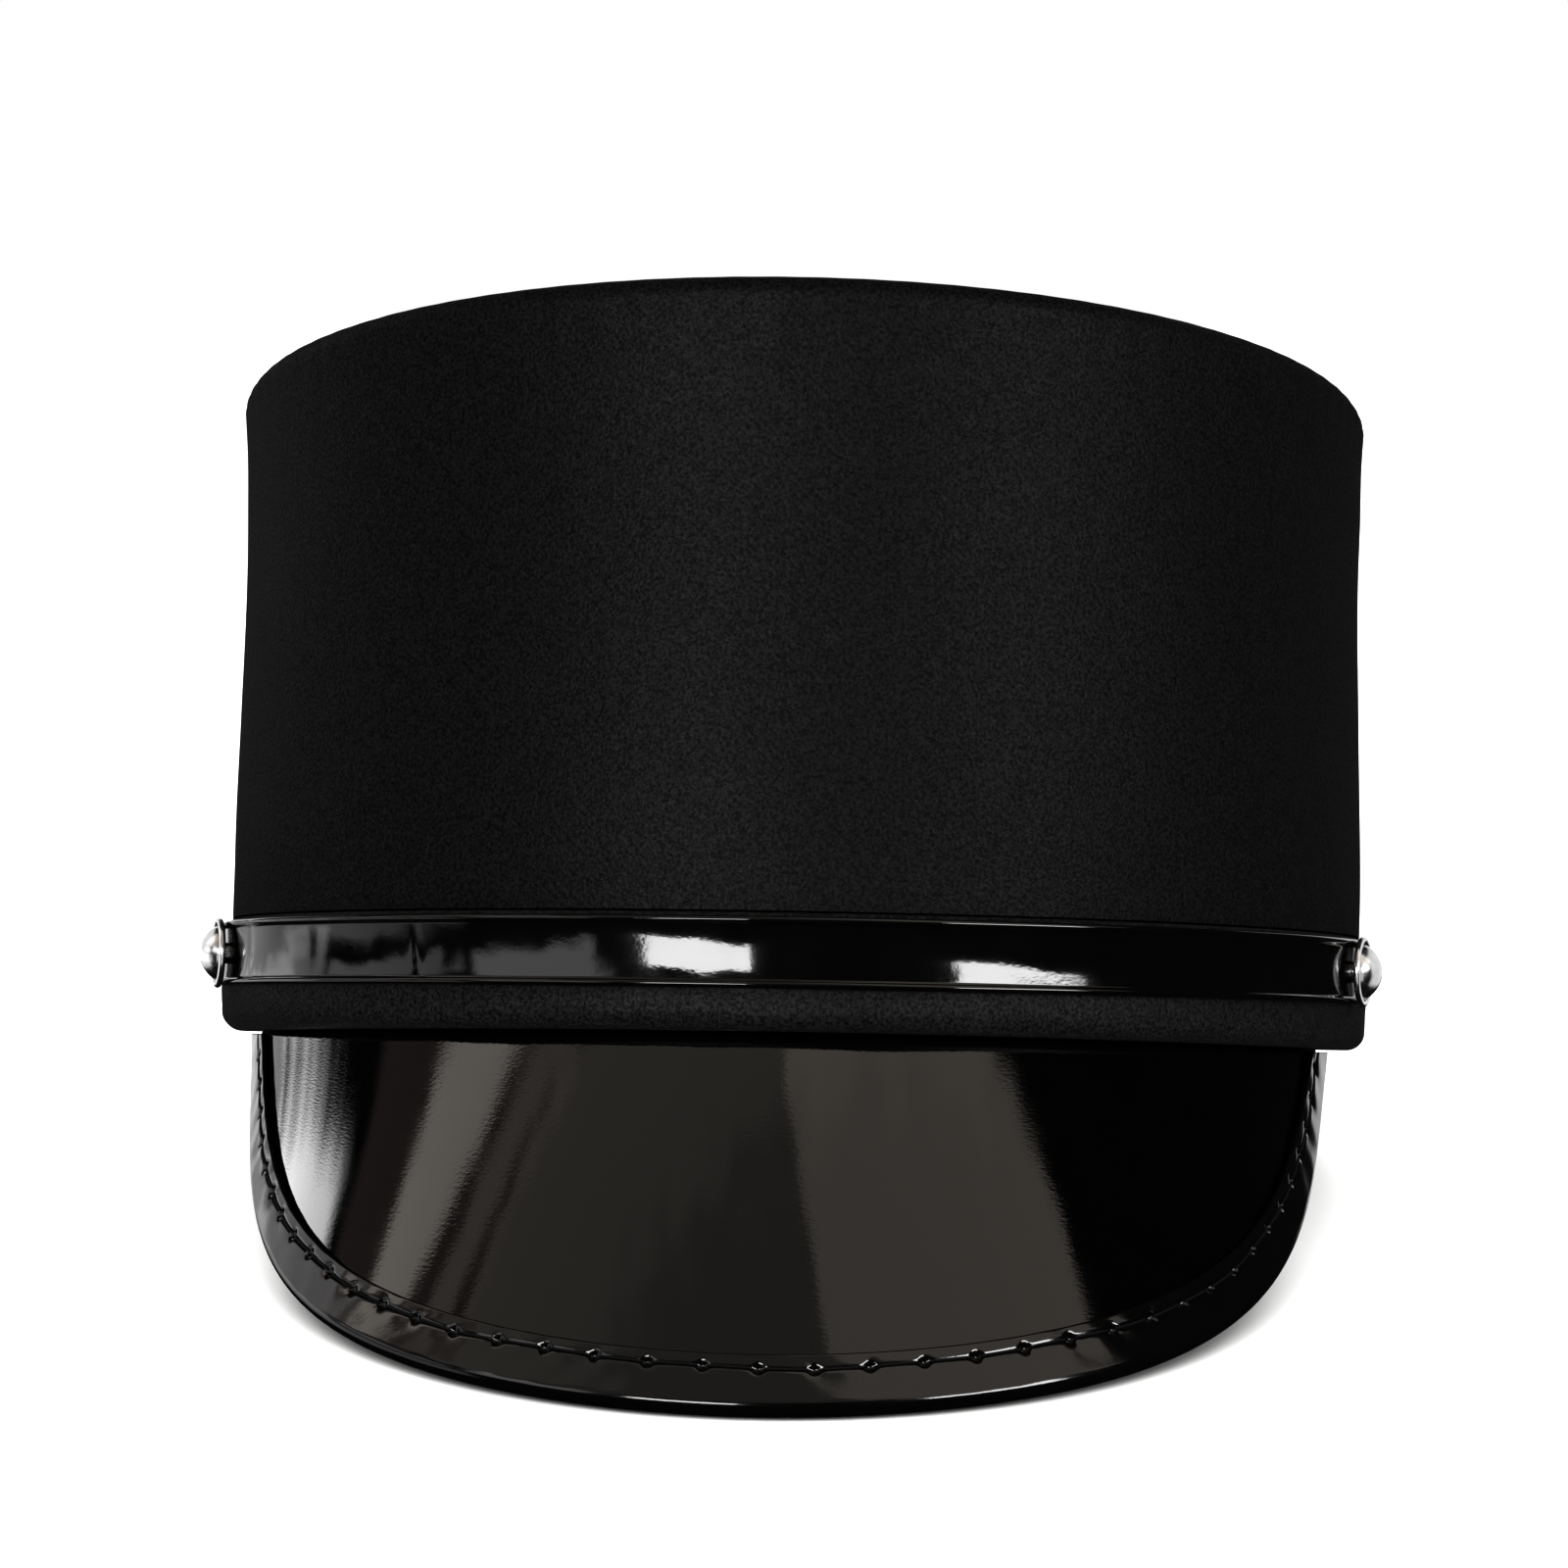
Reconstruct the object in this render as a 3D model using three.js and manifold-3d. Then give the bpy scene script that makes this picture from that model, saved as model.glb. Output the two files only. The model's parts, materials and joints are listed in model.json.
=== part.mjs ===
// Train conductor cap: a cloth crown on a padded headband, with a glossy
// front strap between two domed buttons, and a steep glossy visor whose rim
// is bound. Millimetres, +Z up, the visor towards -Y, the wearer's left at +X.
// The cap stands as it does on a table: on the rim of its visor and on the
// back of its headband. The origin is under the middle of its box.

import * as THREE from "three";
import { mergeVertices } from "three/addons/utils/BufferGeometryUtils.js";
import Module from "manifold-3d";

// Head opening, measured inside the headband
const HEAD_HALF_WIDTH = 84.5;
const HEAD_HALF_LENGTH = 98.5;

// Space between pieces that are sewn or seated on each other
const SEAM_GAP = 0.3;

// Headband, a padded cloth ring
const BAND_THICKNESS = 4;
const BAND_HEIGHT = 17;
const BAND_BOTTOM_ROUND = 1.8;
const BAND_TOP_ROUND = 0.9;
const BAND_FRONT_LIFT = 1.2;

// Side panel of the crown, with its folded top edge
const CROWN_HEIGHT = 80;
const CROWN_FRONT_RISE = 5.8;
const CROWN_WALL = 2;
const CROWN_SET_BACK = 0.7;
const CROWN_WAIST_PULL = 0.9;
const CROWN_EDGE_ROUND = 3;
const CROWN_TOP_FOLD = 2;

// Top panel of the crown
const TOP_THICKNESS = 2;
const TOP_DOME = 1.2;

// Front strap
const STRAP_WIDTH = 9.7;
const STRAP_THICKNESS = 1.2;
const STRAP_ABOVE_EDGE = 6.8;
const STRAP_TAIL = 6.6;
const STRAP_END_WIDTH = 3;

// Domed buttons at the ends of the strap
const BUTTON_ANGLE = THREE.MathUtils.degToRad(70);
const BUTTON_DIAMETER = 10.5;
const BUTTON_HEIGHT = 2.8;
const BUTTON_EDGE = 0.6;

// Visor, measured from the crease under the headband down its slope
const VISOR_LENGTH = 57.5;
const VISOR_THICKNESS = 1.2;
const VISOR_HALF_SPREAD = THREE.MathUtils.degToRad(72);
const VISOR_SLOPE = THREE.MathUtils.degToRad(56);
const VISOR_END_STEEPER = THREE.MathUtils.degToRad(30);
const VISOR_FULLNESS = 1.9;
const VISOR_FLANGE = 5;
const VISOR_CREASE_DROP = 0.6;
const VISOR_LEAST_REACH = 4;

// Binding folded round the visor's rim
const BINDING_WIDTH = 8;
const BINDING_WALL = 0.7;

// How finely the pieces are divided
const RING_STEPS = 84;
const STRAP_STEPS = 44;
const VISOR_STEPS = 46;
const BINDING_STEPS = 56;
const BUTTON_STEPS = 20;
const ROUND_STEPS = 3;
const VISOR_ROWS = 5;
const MERGE_DISTANCE = 1e-3;

// Side panel from foot to shoulder: height as a share of the panel, and how
// much of the waist pull acts there
const CROWN_SECTIONS = [
  { height: 0.0, pull: 0.1 },
  { height: 0.06, pull: 0.0 },
  { height: 0.4, pull: 0.48 },
  { height: 0.78, pull: 1.0 },
  { height: 0.92, pull: 0.62 },
  { height: 1.0, pull: 0.12 },
];

// Top panel from its middle to its edge: share of the reach, share of the
// dome, and whether the underside has a ring there too
const TOP_SECTIONS = [
  { reach: 0.0, dome: 1.0, under: true },
  { reach: 0.6, dome: 1.0, under: true },
  { reach: 0.82, dome: 0.72, under: false },
  { reach: 0.95, dome: 0.28, under: false },
  { reach: 1.0, dome: 0.0, under: true },
];

// Strap from its lower to its upper edge: share of the width, and share of
// the thickness that the front face stands out
const STRAP_SECTION = [
  { width: 0.0, stand: 0.55 },
  { width: 0.06, stand: 1.0 },
  { width: 0.15, stand: 0.78 },
  { width: 0.85, stand: 0.78 },
  { width: 0.94, stand: 1.0 },
  { width: 1.0, stand: 0.55 },
];

// Binding from its upper inner edge, round the rim, to its lower inner edge:
// shares of the width outside and inside, and shares of the half thickness
const BINDING_SECTION = [
  { outerReach: 1.0, outerLift: 0.8, innerReach: 1.0, innerLift: 1.0 },
  { outerReach: 0.88, outerLift: 1.0, innerReach: 0.8, innerLift: 1.0 },
  { outerReach: 0.13, outerLift: 1.0, innerReach: 0.0, innerLift: 1.0 },
  { outerReach: 0.0, outerLift: 0.45, innerReach: 0.0, innerLift: 0.4 },
  { outerReach: 0.0, outerLift: -0.45, innerReach: 0.0, innerLift: -0.4 },
  { outerReach: 0.13, outerLift: -1.0, innerReach: 0.0, innerLift: -1.0 },
  { outerReach: 0.88, outerLift: -1.0, innerReach: 0.8, innerLift: -1.0 },
  { outerReach: 1.0, outerLift: -0.8, innerReach: 1.0, innerLift: -1.0 },
];

// Button from its back to the tip of its dome: shares of radius and dome
const BUTTON_SECTION = [
  { radius: 1.0, dome: 0.0 },
  { radius: 0.97, dome: 0.16 },
  { radius: 0.8, dome: 0.5 },
  { radius: 0.52, dome: 0.82 },
  { radius: 0.24, dome: 0.96 },
  { radius: 0.0, dome: 1.0 },
];

const BAND_OUTSIDE = BAND_THICKNESS;
const CROWN_OUTSIDE = BAND_OUTSIDE - CROWN_SET_BACK;
const CROWN_FOOT = BAND_HEIGHT + SEAM_GAP;
const CROWN_TOP = CROWN_FOOT + CROWN_HEIGHT;
const CROWN_TOP_SLOPE = CROWN_FRONT_RISE / (HEAD_HALF_LENGTH + CROWN_OUTSIDE);
const VISOR_MIDDLE = -(SEAM_GAP + VISOR_THICKNESS / 2);
const SMALL_TURN = 1e-3;
const HALVINGS = 40;

const wasm = await Module();
wasm.setup();

// Point on the oval of the head, angle 0 at the front, grown by an offset
function ovalPoint(angle, offset, z) {
  return new THREE.Vector3(
    (HEAD_HALF_WIDTH + offset) * Math.sin(angle),
    -(HEAD_HALF_LENGTH + offset) * Math.cos(angle),
    z,
  );
}

// Level direction that points straight out of the oval
function ovalNormal(angle, offset) {
  return new THREE.Vector3(
    Math.sin(angle) / (HEAD_HALF_WIDTH + offset),
    -Math.cos(angle) / (HEAD_HALF_LENGTH + offset),
    0,
  ).normalize();
}

// Length of oval passed for each radian
function ovalSpeed(angle, offset) {
  return Math.hypot(
    (HEAD_HALF_WIDTH + offset) * Math.cos(angle),
    (HEAD_HALF_LENGTH + offset) * Math.sin(angle),
  );
}

// The headband's lower edge lifts a little over the visor
function bandBottom(angle) {
  return BAND_FRONT_LIFT * Math.max(0, Math.cos(angle)) ** 2;
}

function spread(from, to, steps) {
  return Array.from({ length: steps + 1 }, (_, i) => from + ((to - from) * i) / steps);
}

// Quarter turns from one direction to the next, as offset and height pairs
function cornerArc(centre, radius, fromDegrees) {
  return spread(fromDegrees, fromDegrees + 90, ROUND_STEPS).map((degrees) => {
    const turn = THREE.MathUtils.degToRad(degrees);
    return {
      offset: centre.offset + radius * Math.cos(turn),
      height: centre.height + radius * Math.sin(turn),
    };
  });
}

// Triangles of a grid of points; a wrapped direction joins its end to its start
function gridFaces(rows, wrapRows, wrapColumns) {
  const columns = rows[0].length;
  const rowCount = wrapRows ? rows.length : rows.length - 1;
  const columnCount = wrapColumns ? columns : columns - 1;
  const faces = [];
  for (let r = 0; r < rowCount; r += 1) {
    const next = (r + 1) % rows.length;
    for (let c = 0; c < columnCount; c += 1) {
      const side = (c + 1) % columns;
      faces.push([rows[r][c], rows[r][side], rows[next][side]]);
      faces.push([rows[r][c], rows[next][side], rows[next][c]]);
    }
  }
  return faces;
}

// One closed geometry from triangles, its shared corners merged, its empty
// triangles dropped and its faces turned outwards
function solidFrom(faces) {
  const loose = new THREE.BufferGeometry();
  loose.setAttribute(
    "position",
    new THREE.Float32BufferAttribute(faces.flat().flatMap((p) => [p.x, p.y, p.z]), 3),
  );
  const merged = mergeVertices(loose, MERGE_DISTANCE);
  const corners = merged.index.array;
  const kept = [];
  for (let i = 0; i < corners.length; i += 3) {
    const [a, b, c] = corners.slice(i, i + 3);
    if (a !== b && b !== c && c !== a) kept.push([a, b, c]);
  }
  const at = (i) => new THREE.Vector3().fromBufferAttribute(merged.attributes.position, i);
  const volume = kept.reduce((sum, [a, b, c]) => sum + at(a).dot(at(b).cross(at(c))), 0);
  merged.setIndex(kept.flatMap(([a, b, c]) => (volume > 0 ? [a, b, c] : [a, c, b])));
  merged.computeVertexNormals();
  return merged;
}

// A ring whose closed section is worked out at each angle
function ringSolid(sectionAt) {
  const angles = spread(0, 2 * Math.PI, RING_STEPS).slice(0, -1);
  return solidFrom(gridFaces(angles.map(sectionAt), true, true));
}

// A sheet between an outer and an inner grid, closed along its four sides
function sheetSolid(outer, inner) {
  const rim = (grid) => [
    ...grid.map((row) => row[0]),
    ...grid[grid.length - 1].slice(1),
    ...grid.slice(0, -1).reverse().map((row) => row[row.length - 1]),
    ...grid[0].slice(1, -1).reverse(),
  ];
  const innerFaces = gridFaces(inner, false, false).map(([a, b, c]) => [a, c, b]);
  const edgeFaces = gridFaces([rim(outer), rim(inner)], false, true);
  return solidFrom([...gridFaces(outer, false, false), ...innerFaces, ...edgeFaces]);
}

function toManifold(geometry) {
  const bare = geometry.clone();
  bare.deleteAttribute("normal");
  bare.deleteAttribute("uv");
  const merged = mergeVertices(bare, MERGE_DISTANCE);
  return new wasm.Manifold(new wasm.Mesh({
    numProp: 3,
    vertProperties: new Float32Array(merged.attributes.position.array),
    triVerts: new Uint32Array(merged.index.array),
  }));
}

function fromManifold(solid) {
  const mesh = solid.getMesh();
  const geometry = new THREE.BufferGeometry();
  geometry.setAttribute("position", new THREE.BufferAttribute(mesh.vertProperties, 3));
  geometry.setIndex(new THREE.BufferAttribute(mesh.triVerts, 1));
  geometry.computeVertexNormals();
  return geometry;
}

// Padded ring with soft corners, thicker than the crown above it
function headbandGeometry() {
  return ringSolid((angle) => {
    const low = bandBottom(angle) + BAND_BOTTOM_ROUND;
    const high = BAND_HEIGHT - BAND_TOP_ROUND;
    const section = [
      ...cornerArc(
        { offset: BAND_OUTSIDE - BAND_BOTTOM_ROUND, height: low }, BAND_BOTTOM_ROUND, -90),
      ...cornerArc({ offset: BAND_OUTSIDE - BAND_TOP_ROUND, height: high }, BAND_TOP_ROUND, 0),
      ...cornerArc({ offset: BAND_TOP_ROUND, height: high }, BAND_TOP_ROUND, 90),
      ...cornerArc({ offset: BAND_BOTTOM_ROUND, height: low }, BAND_BOTTOM_ROUND, 180),
    ];
    return section.map((corner) => ovalPoint(angle, corner.offset, corner.height));
  });
}

// Height of the crown's sloping top plane
function topPlane(y) {
  return CROWN_TOP - CROWN_TOP_SLOPE * y;
}

function underTop(angle, offset, drop) {
  const point = ovalPoint(angle, offset, 0);
  point.z = topPlane(point.y) - drop;
  return point;
}

function crownOffset(row) {
  return CROWN_OUTSIDE - CROWN_WAIST_PULL * row.pull;
}

// Side panel: up its outside, over the rounded edge to the seam, and back
// down its inside
function crownSideGeometry() {
  const shoulder = crownOffset(CROWN_SECTIONS[CROWN_SECTIONS.length - 1]);
  const seam = shoulder - CROWN_EDGE_ROUND - CROWN_TOP_FOLD;
  const panelPoint = (angle, row, inset) => {
    const top = underTop(angle, crownOffset(row), CROWN_EDGE_ROUND).z;
    const z = CROWN_FOOT + (top - CROWN_FOOT) * row.height;
    return ovalPoint(angle, crownOffset(row) - inset, z);
  };
  const edge = cornerArc({ offset: shoulder - CROWN_EDGE_ROUND, height: 0 }, CROWN_EDGE_ROUND, 0);
  return ringSolid((angle) => [
    ...CROWN_SECTIONS.slice(0, -1).map((row) => panelPoint(angle, row, 0)),
    ...edge.map((turn) => underTop(angle, turn.offset, CROWN_EDGE_ROUND - turn.height)),
    underTop(angle, seam, 0),
    underTop(angle, seam, CROWN_WALL),
    underTop(angle, shoulder - CROWN_EDGE_ROUND, CROWN_WALL),
    ...[...CROWN_SECTIONS].reverse().map((row) => panelPoint(angle, row, CROWN_WALL)),
  ]);
}

// Top panel: flat in the middle, easing down to the seam with the side panel
function crownTopGeometry() {
  const shoulder = crownOffset(CROWN_SECTIONS[CROWN_SECTIONS.length - 1]);
  const edge = shoulder - CROWN_EDGE_ROUND - CROWN_TOP_FOLD - SEAM_GAP;
  const angles = spread(0, 2 * Math.PI, RING_STEPS).slice(0, -1);
  const face = (row, drop) => angles.map((angle) => {
    const rim = ovalPoint(angle, edge, 0).multiplyScalar(row.reach);
    rim.z = topPlane(rim.y) + TOP_DOME * row.dome - drop;
    return rim;
  });
  const upper = TOP_SECTIONS.map((row) => face(row, 0));
  const lower = TOP_SECTIONS.filter((row) => row.under).map((row) => face(row, TOP_THICKNESS));
  return solidFrom(gridFaces([...upper, ...lower.reverse()], false, true));
}

// Strap laid round the front of the headband, its ends rounded
function strapGeometry() {
  const seat = BAND_OUTSIDE + SEAM_GAP;
  const end = BUTTON_ANGLE + STRAP_TAIL / ovalSpeed(BUTTON_ANGLE, seat);
  const middle = STRAP_ABOVE_EDGE + STRAP_WIDTH / 2;
  const endShare = (angle) => {
    const fromEnd = (end - Math.abs(angle)) * ovalSpeed(angle, seat);
    const reach = Math.min(1, (2 * fromEnd) / STRAP_WIDTH);
    return Math.max(STRAP_END_WIDTH / STRAP_WIDTH, Math.sqrt(1 - (1 - reach) ** 2));
  };
  const round = (STRAP_WIDTH / 2) / ovalSpeed(end, seat);
  const angles = [
    ...spread(-end, -end + round, ROUND_STEPS),
    ...spread(-end + round, end - round, STRAP_STEPS).slice(1, -1),
    ...spread(end - round, end, ROUND_STEPS),
  ];
  const face = (standAt) => angles.map((angle) => STRAP_SECTION.map((row) => ovalPoint(
    angle,
    seat + STRAP_THICKNESS * standAt(row),
    middle + STRAP_WIDTH * (row.width - 0.5) * endShare(angle),
  )));
  return sheetSolid(face((row) => row.stand), face(() => 0));
}

// Shallow dome on a short straight edge, its axis along +Y
function buttonGeometry() {
  const radius = BUTTON_DIAMETER / 2;
  const dome = BUTTON_HEIGHT - BUTTON_EDGE;
  const outline = [
    new THREE.Vector2(0, 0),
    new THREE.Vector2(radius, 0),
    ...BUTTON_SECTION.map((row) => new THREE.Vector2(
      radius * row.radius, BUTTON_EDGE + dome * row.dome)),
  ];
  return solidFrom(trianglesOf(new THREE.LatheGeometry(outline, BUTTON_STEPS)));
}

function trianglesOf(geometry) {
  const flat = geometry.toNonIndexed().attributes.position;
  const points = Array.from({ length: flat.count }, (_, i) => (
    new THREE.Vector3().fromBufferAttribute(flat, i)));
  return Array.from({ length: points.length / 3 }, (_, i) => points.slice(3 * i, 3 * i + 3));
}

// Middle surface of the visor: from the crease straight down a slope that
// steepens towards both ends
function visorPoint(angle, down) {
  const share = Math.abs(angle) / VISOR_HALF_SPREAD;
  const slope = VISOR_SLOPE + VISOR_END_STEEPER * share ** 2;
  const crease = ovalPoint(angle, VISOR_MIDDLE, bandBottom(angle) - VISOR_CREASE_DROP);
  const out = ovalNormal(angle, VISOR_MIDDLE).multiplyScalar(down * Math.cos(slope));
  return crease.add(out).setZ(crease.z - down * Math.sin(slope));
}

// How far down the slope the rim lies
function visorReach(angle) {
  const share = Math.min(1, Math.abs(angle) / VISOR_HALF_SPREAD);
  return VISOR_LENGTH * (1 - share ** VISOR_FULLNESS);
}

// Directions on the surface: along the rim, down the slope, and out of it
function visorFrame(angle, down) {
  const before = visorPoint(angle - SMALL_TURN, down);
  const along = visorPoint(angle + SMALL_TURN, down).sub(before).divideScalar(2 * SMALL_TURN);
  const slope = visorPoint(angle, down + 1).sub(visorPoint(angle, down));
  return { speed: along.length(), normal: slope.clone().cross(along).normalize() };
}

// Slope of the rim line: change of reach for each length along the visor
function rimSlope(angle) {
  const change = visorReach(angle + SMALL_TURN) - visorReach(angle - SMALL_TURN);
  return change / (2 * SMALL_TURN) / visorFrame(angle, visorReach(angle)).speed;
}

// Point that lies inside the rim by a distance square to it, then lifted off
// the surface
function insideRim(angle, distance, lift) {
  const slope = rimSlope(angle);
  const length = Math.hypot(1, slope);
  const { speed } = visorFrame(angle, visorReach(angle));
  const turned = angle + (distance * slope) / length / speed;
  const down = visorReach(angle) - distance / length;
  return visorPoint(turned, down).addScaledVector(visorFrame(turned, down).normal, lift);
}

// Largest angle up to a limit at which a test still holds, found by halving
function lastAngle(holds, limit) {
  let low = 0;
  let high = limit;
  for (let i = 0; i < HALVINGS; i += 1) {
    const middle = (low + high) / 2;
    if (holds(middle)) low = middle;
    else high = middle;
  }
  return low;
}

// Visor sheet, with the flange that is sewn inside the headband
function visorGeometry() {
  const inset = BINDING_WALL + SEAM_GAP;
  const edgeAt = (angle) => visorReach(angle) - inset * Math.hypot(1, rimSlope(angle));
  const last = lastAngle((angle) => edgeAt(angle) > VISOR_LEAST_REACH, VISOR_HALF_SPREAD);
  const half = VISOR_THICKNESS / 2;
  const face = (side) => spread(-last, last, VISOR_STEPS).map((angle) => {
    const slopeFace = spread(0, edgeAt(angle), VISOR_ROWS).slice(1).map((down) => (
      visorPoint(angle, down).addScaledVector(visorFrame(angle, down).normal, side * half)));
    const flange = VISOR_MIDDLE + side * half;
    const crease = bandBottom(angle) - VISOR_CREASE_DROP + (side * half) / 2;
    return [
      ovalPoint(angle, flange, bandBottom(angle) + VISOR_FLANGE),
      ovalPoint(angle, flange, crease),
      ...slopeFace,
    ];
  });
  return sheetSolid(face(1), face(-1));
}

// Folded strip over the rim, cut off just under the headband
function bindingGeometry() {
  const inside = VISOR_THICKNESS / 2 + SEAM_GAP;
  const outside = inside + BINDING_WALL;
  const angles = spread(-VISOR_HALF_SPREAD, VISOR_HALF_SPREAD, BINDING_STEPS);
  const outer = angles.map((angle) => BINDING_SECTION.map((row) => (
    insideRim(angle, BINDING_WIDTH * row.outerReach, outside * row.outerLift))));
  const inner = angles.map((angle) => BINDING_SECTION.map((row) => insideRim(
    angle,
    BINDING_WALL + (BINDING_WIDTH - BINDING_WALL) * row.innerReach,
    inside * row.innerLift,
  )));
  const reach = 4 * HEAD_HALF_LENGTH;
  const above = new THREE.BoxGeometry(reach, reach, reach);
  above.translate(0, 0, reach / 2 - SEAM_GAP);
  return fromManifold(toManifold(sheetSolid(outer, inner)).subtract(toManifold(above)));
}

function piece(name, geometry, color, roughness, metalness) {
  const material = new THREE.MeshStandardMaterial({ color, roughness, metalness });
  const mesh = new THREE.Mesh(geometry, material);
  mesh.name = name;
  return mesh;
}

function button(name, side) {
  const seat = BAND_OUTSIDE + STRAP_THICKNESS + 2 * SEAM_GAP;
  const mesh = piece(name, buttonGeometry(), 0xc9cbce, 0.15, 1);
  const normal = ovalNormal(side * BUTTON_ANGLE, seat);
  mesh.position.copy(ovalPoint(
    side * BUTTON_ANGLE, seat, STRAP_ABOVE_EDGE + STRAP_WIDTH / 2));
  mesh.quaternion.setFromUnitVectors(new THREE.Vector3(0, 1, 0), normal);
  return mesh;
}

function lowest(geometry, tilt) {
  const turned = geometry.clone().applyMatrix4(new THREE.Matrix4().makeRotationX(-tilt));
  turned.computeBoundingBox();
  return turned.boundingBox.min.z;
}

// Backward tilt at which the visor's rim and the headband's back touch the
// same table
function restTilt(front, back) {
  return lastAngle((tilt) => lowest(front, tilt) < lowest(back, tilt), Math.PI / 4);
}

const headband = piece("headband", headbandGeometry(), 0x17171a, 0.9, 0);
const binding = piece("visor_binding", bindingGeometry(), 0x0c0c0d, 0.25, 0);

const worn = new THREE.Group();
worn.add(
  piece("crown_side", crownSideGeometry(), 0x131315, 0.92, 0),
  piece("crown_top", crownTopGeometry(), 0x131315, 0.92, 0),
  headband,
  piece("strap", strapGeometry(), 0x0b0b0c, 0.2, 0),
  button("button_left", 1),
  button("button_right", -1),
  piece("visor", visorGeometry(), 0x0a0a0b, 0.15, 0),
  binding,
);
worn.rotation.x = -restTilt(binding.geometry, headband.geometry);

const cap = new THREE.Group();
cap.add(worn);
cap.updateMatrixWorld(true);
const box = new THREE.Box3().setFromObject(cap, true);
worn.position.set(
  -(box.min.x + box.max.x) / 2,
  -(box.min.y + box.max.y) / 2,
  -box.min.z,
);
cap.updateMatrixWorld(true);

export default cap;
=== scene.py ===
"""A conductor cap of black twill, patent and silver, dressed round its frame.

The cap is worked out upright, with the visor towards -Y, the wearer's left at +X and the headband's lower
edge at height 0. It is then turned and shifted to where it rests, on the rim of its visor and the back of
its headband."""

import json
import math

import bmesh
import bpy
import numpy as np
from bpy.props import FloatProperty, FloatVectorProperty, PointerProperty
from mathutils import Matrix


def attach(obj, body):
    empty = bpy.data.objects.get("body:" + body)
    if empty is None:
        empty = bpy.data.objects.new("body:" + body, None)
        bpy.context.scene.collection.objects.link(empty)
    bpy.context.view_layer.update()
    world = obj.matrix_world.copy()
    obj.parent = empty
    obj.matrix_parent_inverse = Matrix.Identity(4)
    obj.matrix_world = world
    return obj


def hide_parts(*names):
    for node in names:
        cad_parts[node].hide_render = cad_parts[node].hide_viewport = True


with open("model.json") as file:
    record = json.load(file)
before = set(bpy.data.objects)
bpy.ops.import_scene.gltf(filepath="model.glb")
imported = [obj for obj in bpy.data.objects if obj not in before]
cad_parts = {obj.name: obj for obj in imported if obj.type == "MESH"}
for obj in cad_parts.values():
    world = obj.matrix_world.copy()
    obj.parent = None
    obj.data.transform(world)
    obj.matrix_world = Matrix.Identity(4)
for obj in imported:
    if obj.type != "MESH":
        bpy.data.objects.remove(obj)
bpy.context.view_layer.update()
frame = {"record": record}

bl_info = {
    "name": "Conductor cap",
    "version": (1, 0, 0),
    "blender": (4, 5, 0),
    "location": "3D View > Sidebar > Cap",
    "description": "Dresses a conductor cap in twill, patent and silver round its frame",
    "category": "Object",
}

MM = 0.001
BODY = "root"
TOP_FACE = next(m for m in frame["record"]["mounts"] if m["name"] == "crown_top_face")

# How finely the pieces are divided
RING_STEPS = 460
SEAM_STEPS = 16
SEAM_ZONE = 8 * MM
PANEL_ROWS = 60
ROUND_STEPS = 10
STRAP_STEPS = 620
BUTTON_STEPS = 96
VISOR_STEPS = 400
VISOR_ROWS = 64
BINDING_STEPS = 1100
BINDING_FLAT_ROWS = 4
THREAD_STEPS = 17
THREAD_SIDES = 8
RIPPLE_WAVES = 14
SMALL_TURN = 1e-3
SMALL_STEP = 1e-4
MERGE_DISTANCE = 1e-6

# Waist of the crown's side panel from foot to shoulder: shares of the height and of the waist pull
CROWN_WAIST = ((0.0, 0.1), (0.06, 0.0), (0.4, 0.48), (0.78, 1.0), (0.92, 0.62), (1.0, 0.12))

# Soft waves of each piece: share of its depth, length in millimetres and seed
WAVES = {
    "crown_side": ((0.7, 85, 11), (0.3, 34, 12)),
    "crown_top": ((1.0, 60, 21),),
    "headband": ((0.35, 26, 31), (0.2, 9, 32)),
    "strap": ((1.0, 17, 41),),
    "strap_short": ((0.1, 5, 42),),
    "strap_long": ((0.22, 3.2, 43),),
    "visor": ((1.0, 40, 51), (0.15, 14, 52)),
    "binding": ((0.5, 5, 61),),
}

# Photograph's camera beside the upright cap: turned to its side, tipped up, turned off its axis, rolled
CAMERA_SIDE = 0.035
CAMERA_PITCH = 0.0622
CAMERA_PAN = 0.0037
CAMERA_ROLL = 0.0175
FRAME_PIXELS = 1600
FOCAL_PIXELS = 4205
SENSOR_WIDTH = 36.0
NEAREST_SEEN = 10 * MM

# Kinds of light panel that reach the pieces of a slot: black flags keep the others off them
LIT_AS = {
    "crown_cloth": ("cloth",),
    "band_cloth": ("cloth",),
    "patent_strap": ("patent", "trim"),
    "visor_patent": ("patent", "visor"),
    "binding_patent": ("patent", "trim"),
    "button_metal": ("patent", "metal"),
}

# Display gamma under 1, which deepens the darks as the photograph's processing does
PRINT_CONTRAST = 0.8


def linear(code):
    """Linear colour of an sRGB hex value: each part to the power 2.4 above the short straight start."""
    parts = [int(code[i:i + 2], 16) / 255 for i in (1, 3, 5)]
    return (*(p / 12.92 if p <= 0.04045 else ((p + 0.055) / 1.055) ** 2.4 for p in parts), 1.0)


def length(name, description, millimetres):
    return FloatProperty(
        name=name, description=description, default=millimetres * MM, unit="LENGTH", precision=5)


def turn(name, description, degrees):
    return FloatProperty(name=name, description=description, default=math.radians(degrees), subtype="ANGLE")


def number(name, description, value):
    return FloatProperty(name=name, description=description, default=value)


def colour(name, description, code):
    return FloatVectorProperty(
        name=name, description=description, default=linear(code), subtype="COLOR", size=4)


class HeadSizes(bpy.types.PropertyGroup):
    """The oval of the head, which every ring of the cap follows"""

    half_width: length("Half width", "Inside the headband, ear to ear", 84.5)
    half_length: length("Half length", "Inside the headband, front to back", 98.5)
    gap: length("Seam gap", "Space between pieces sewn or seated on each other", 0.3)


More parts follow.
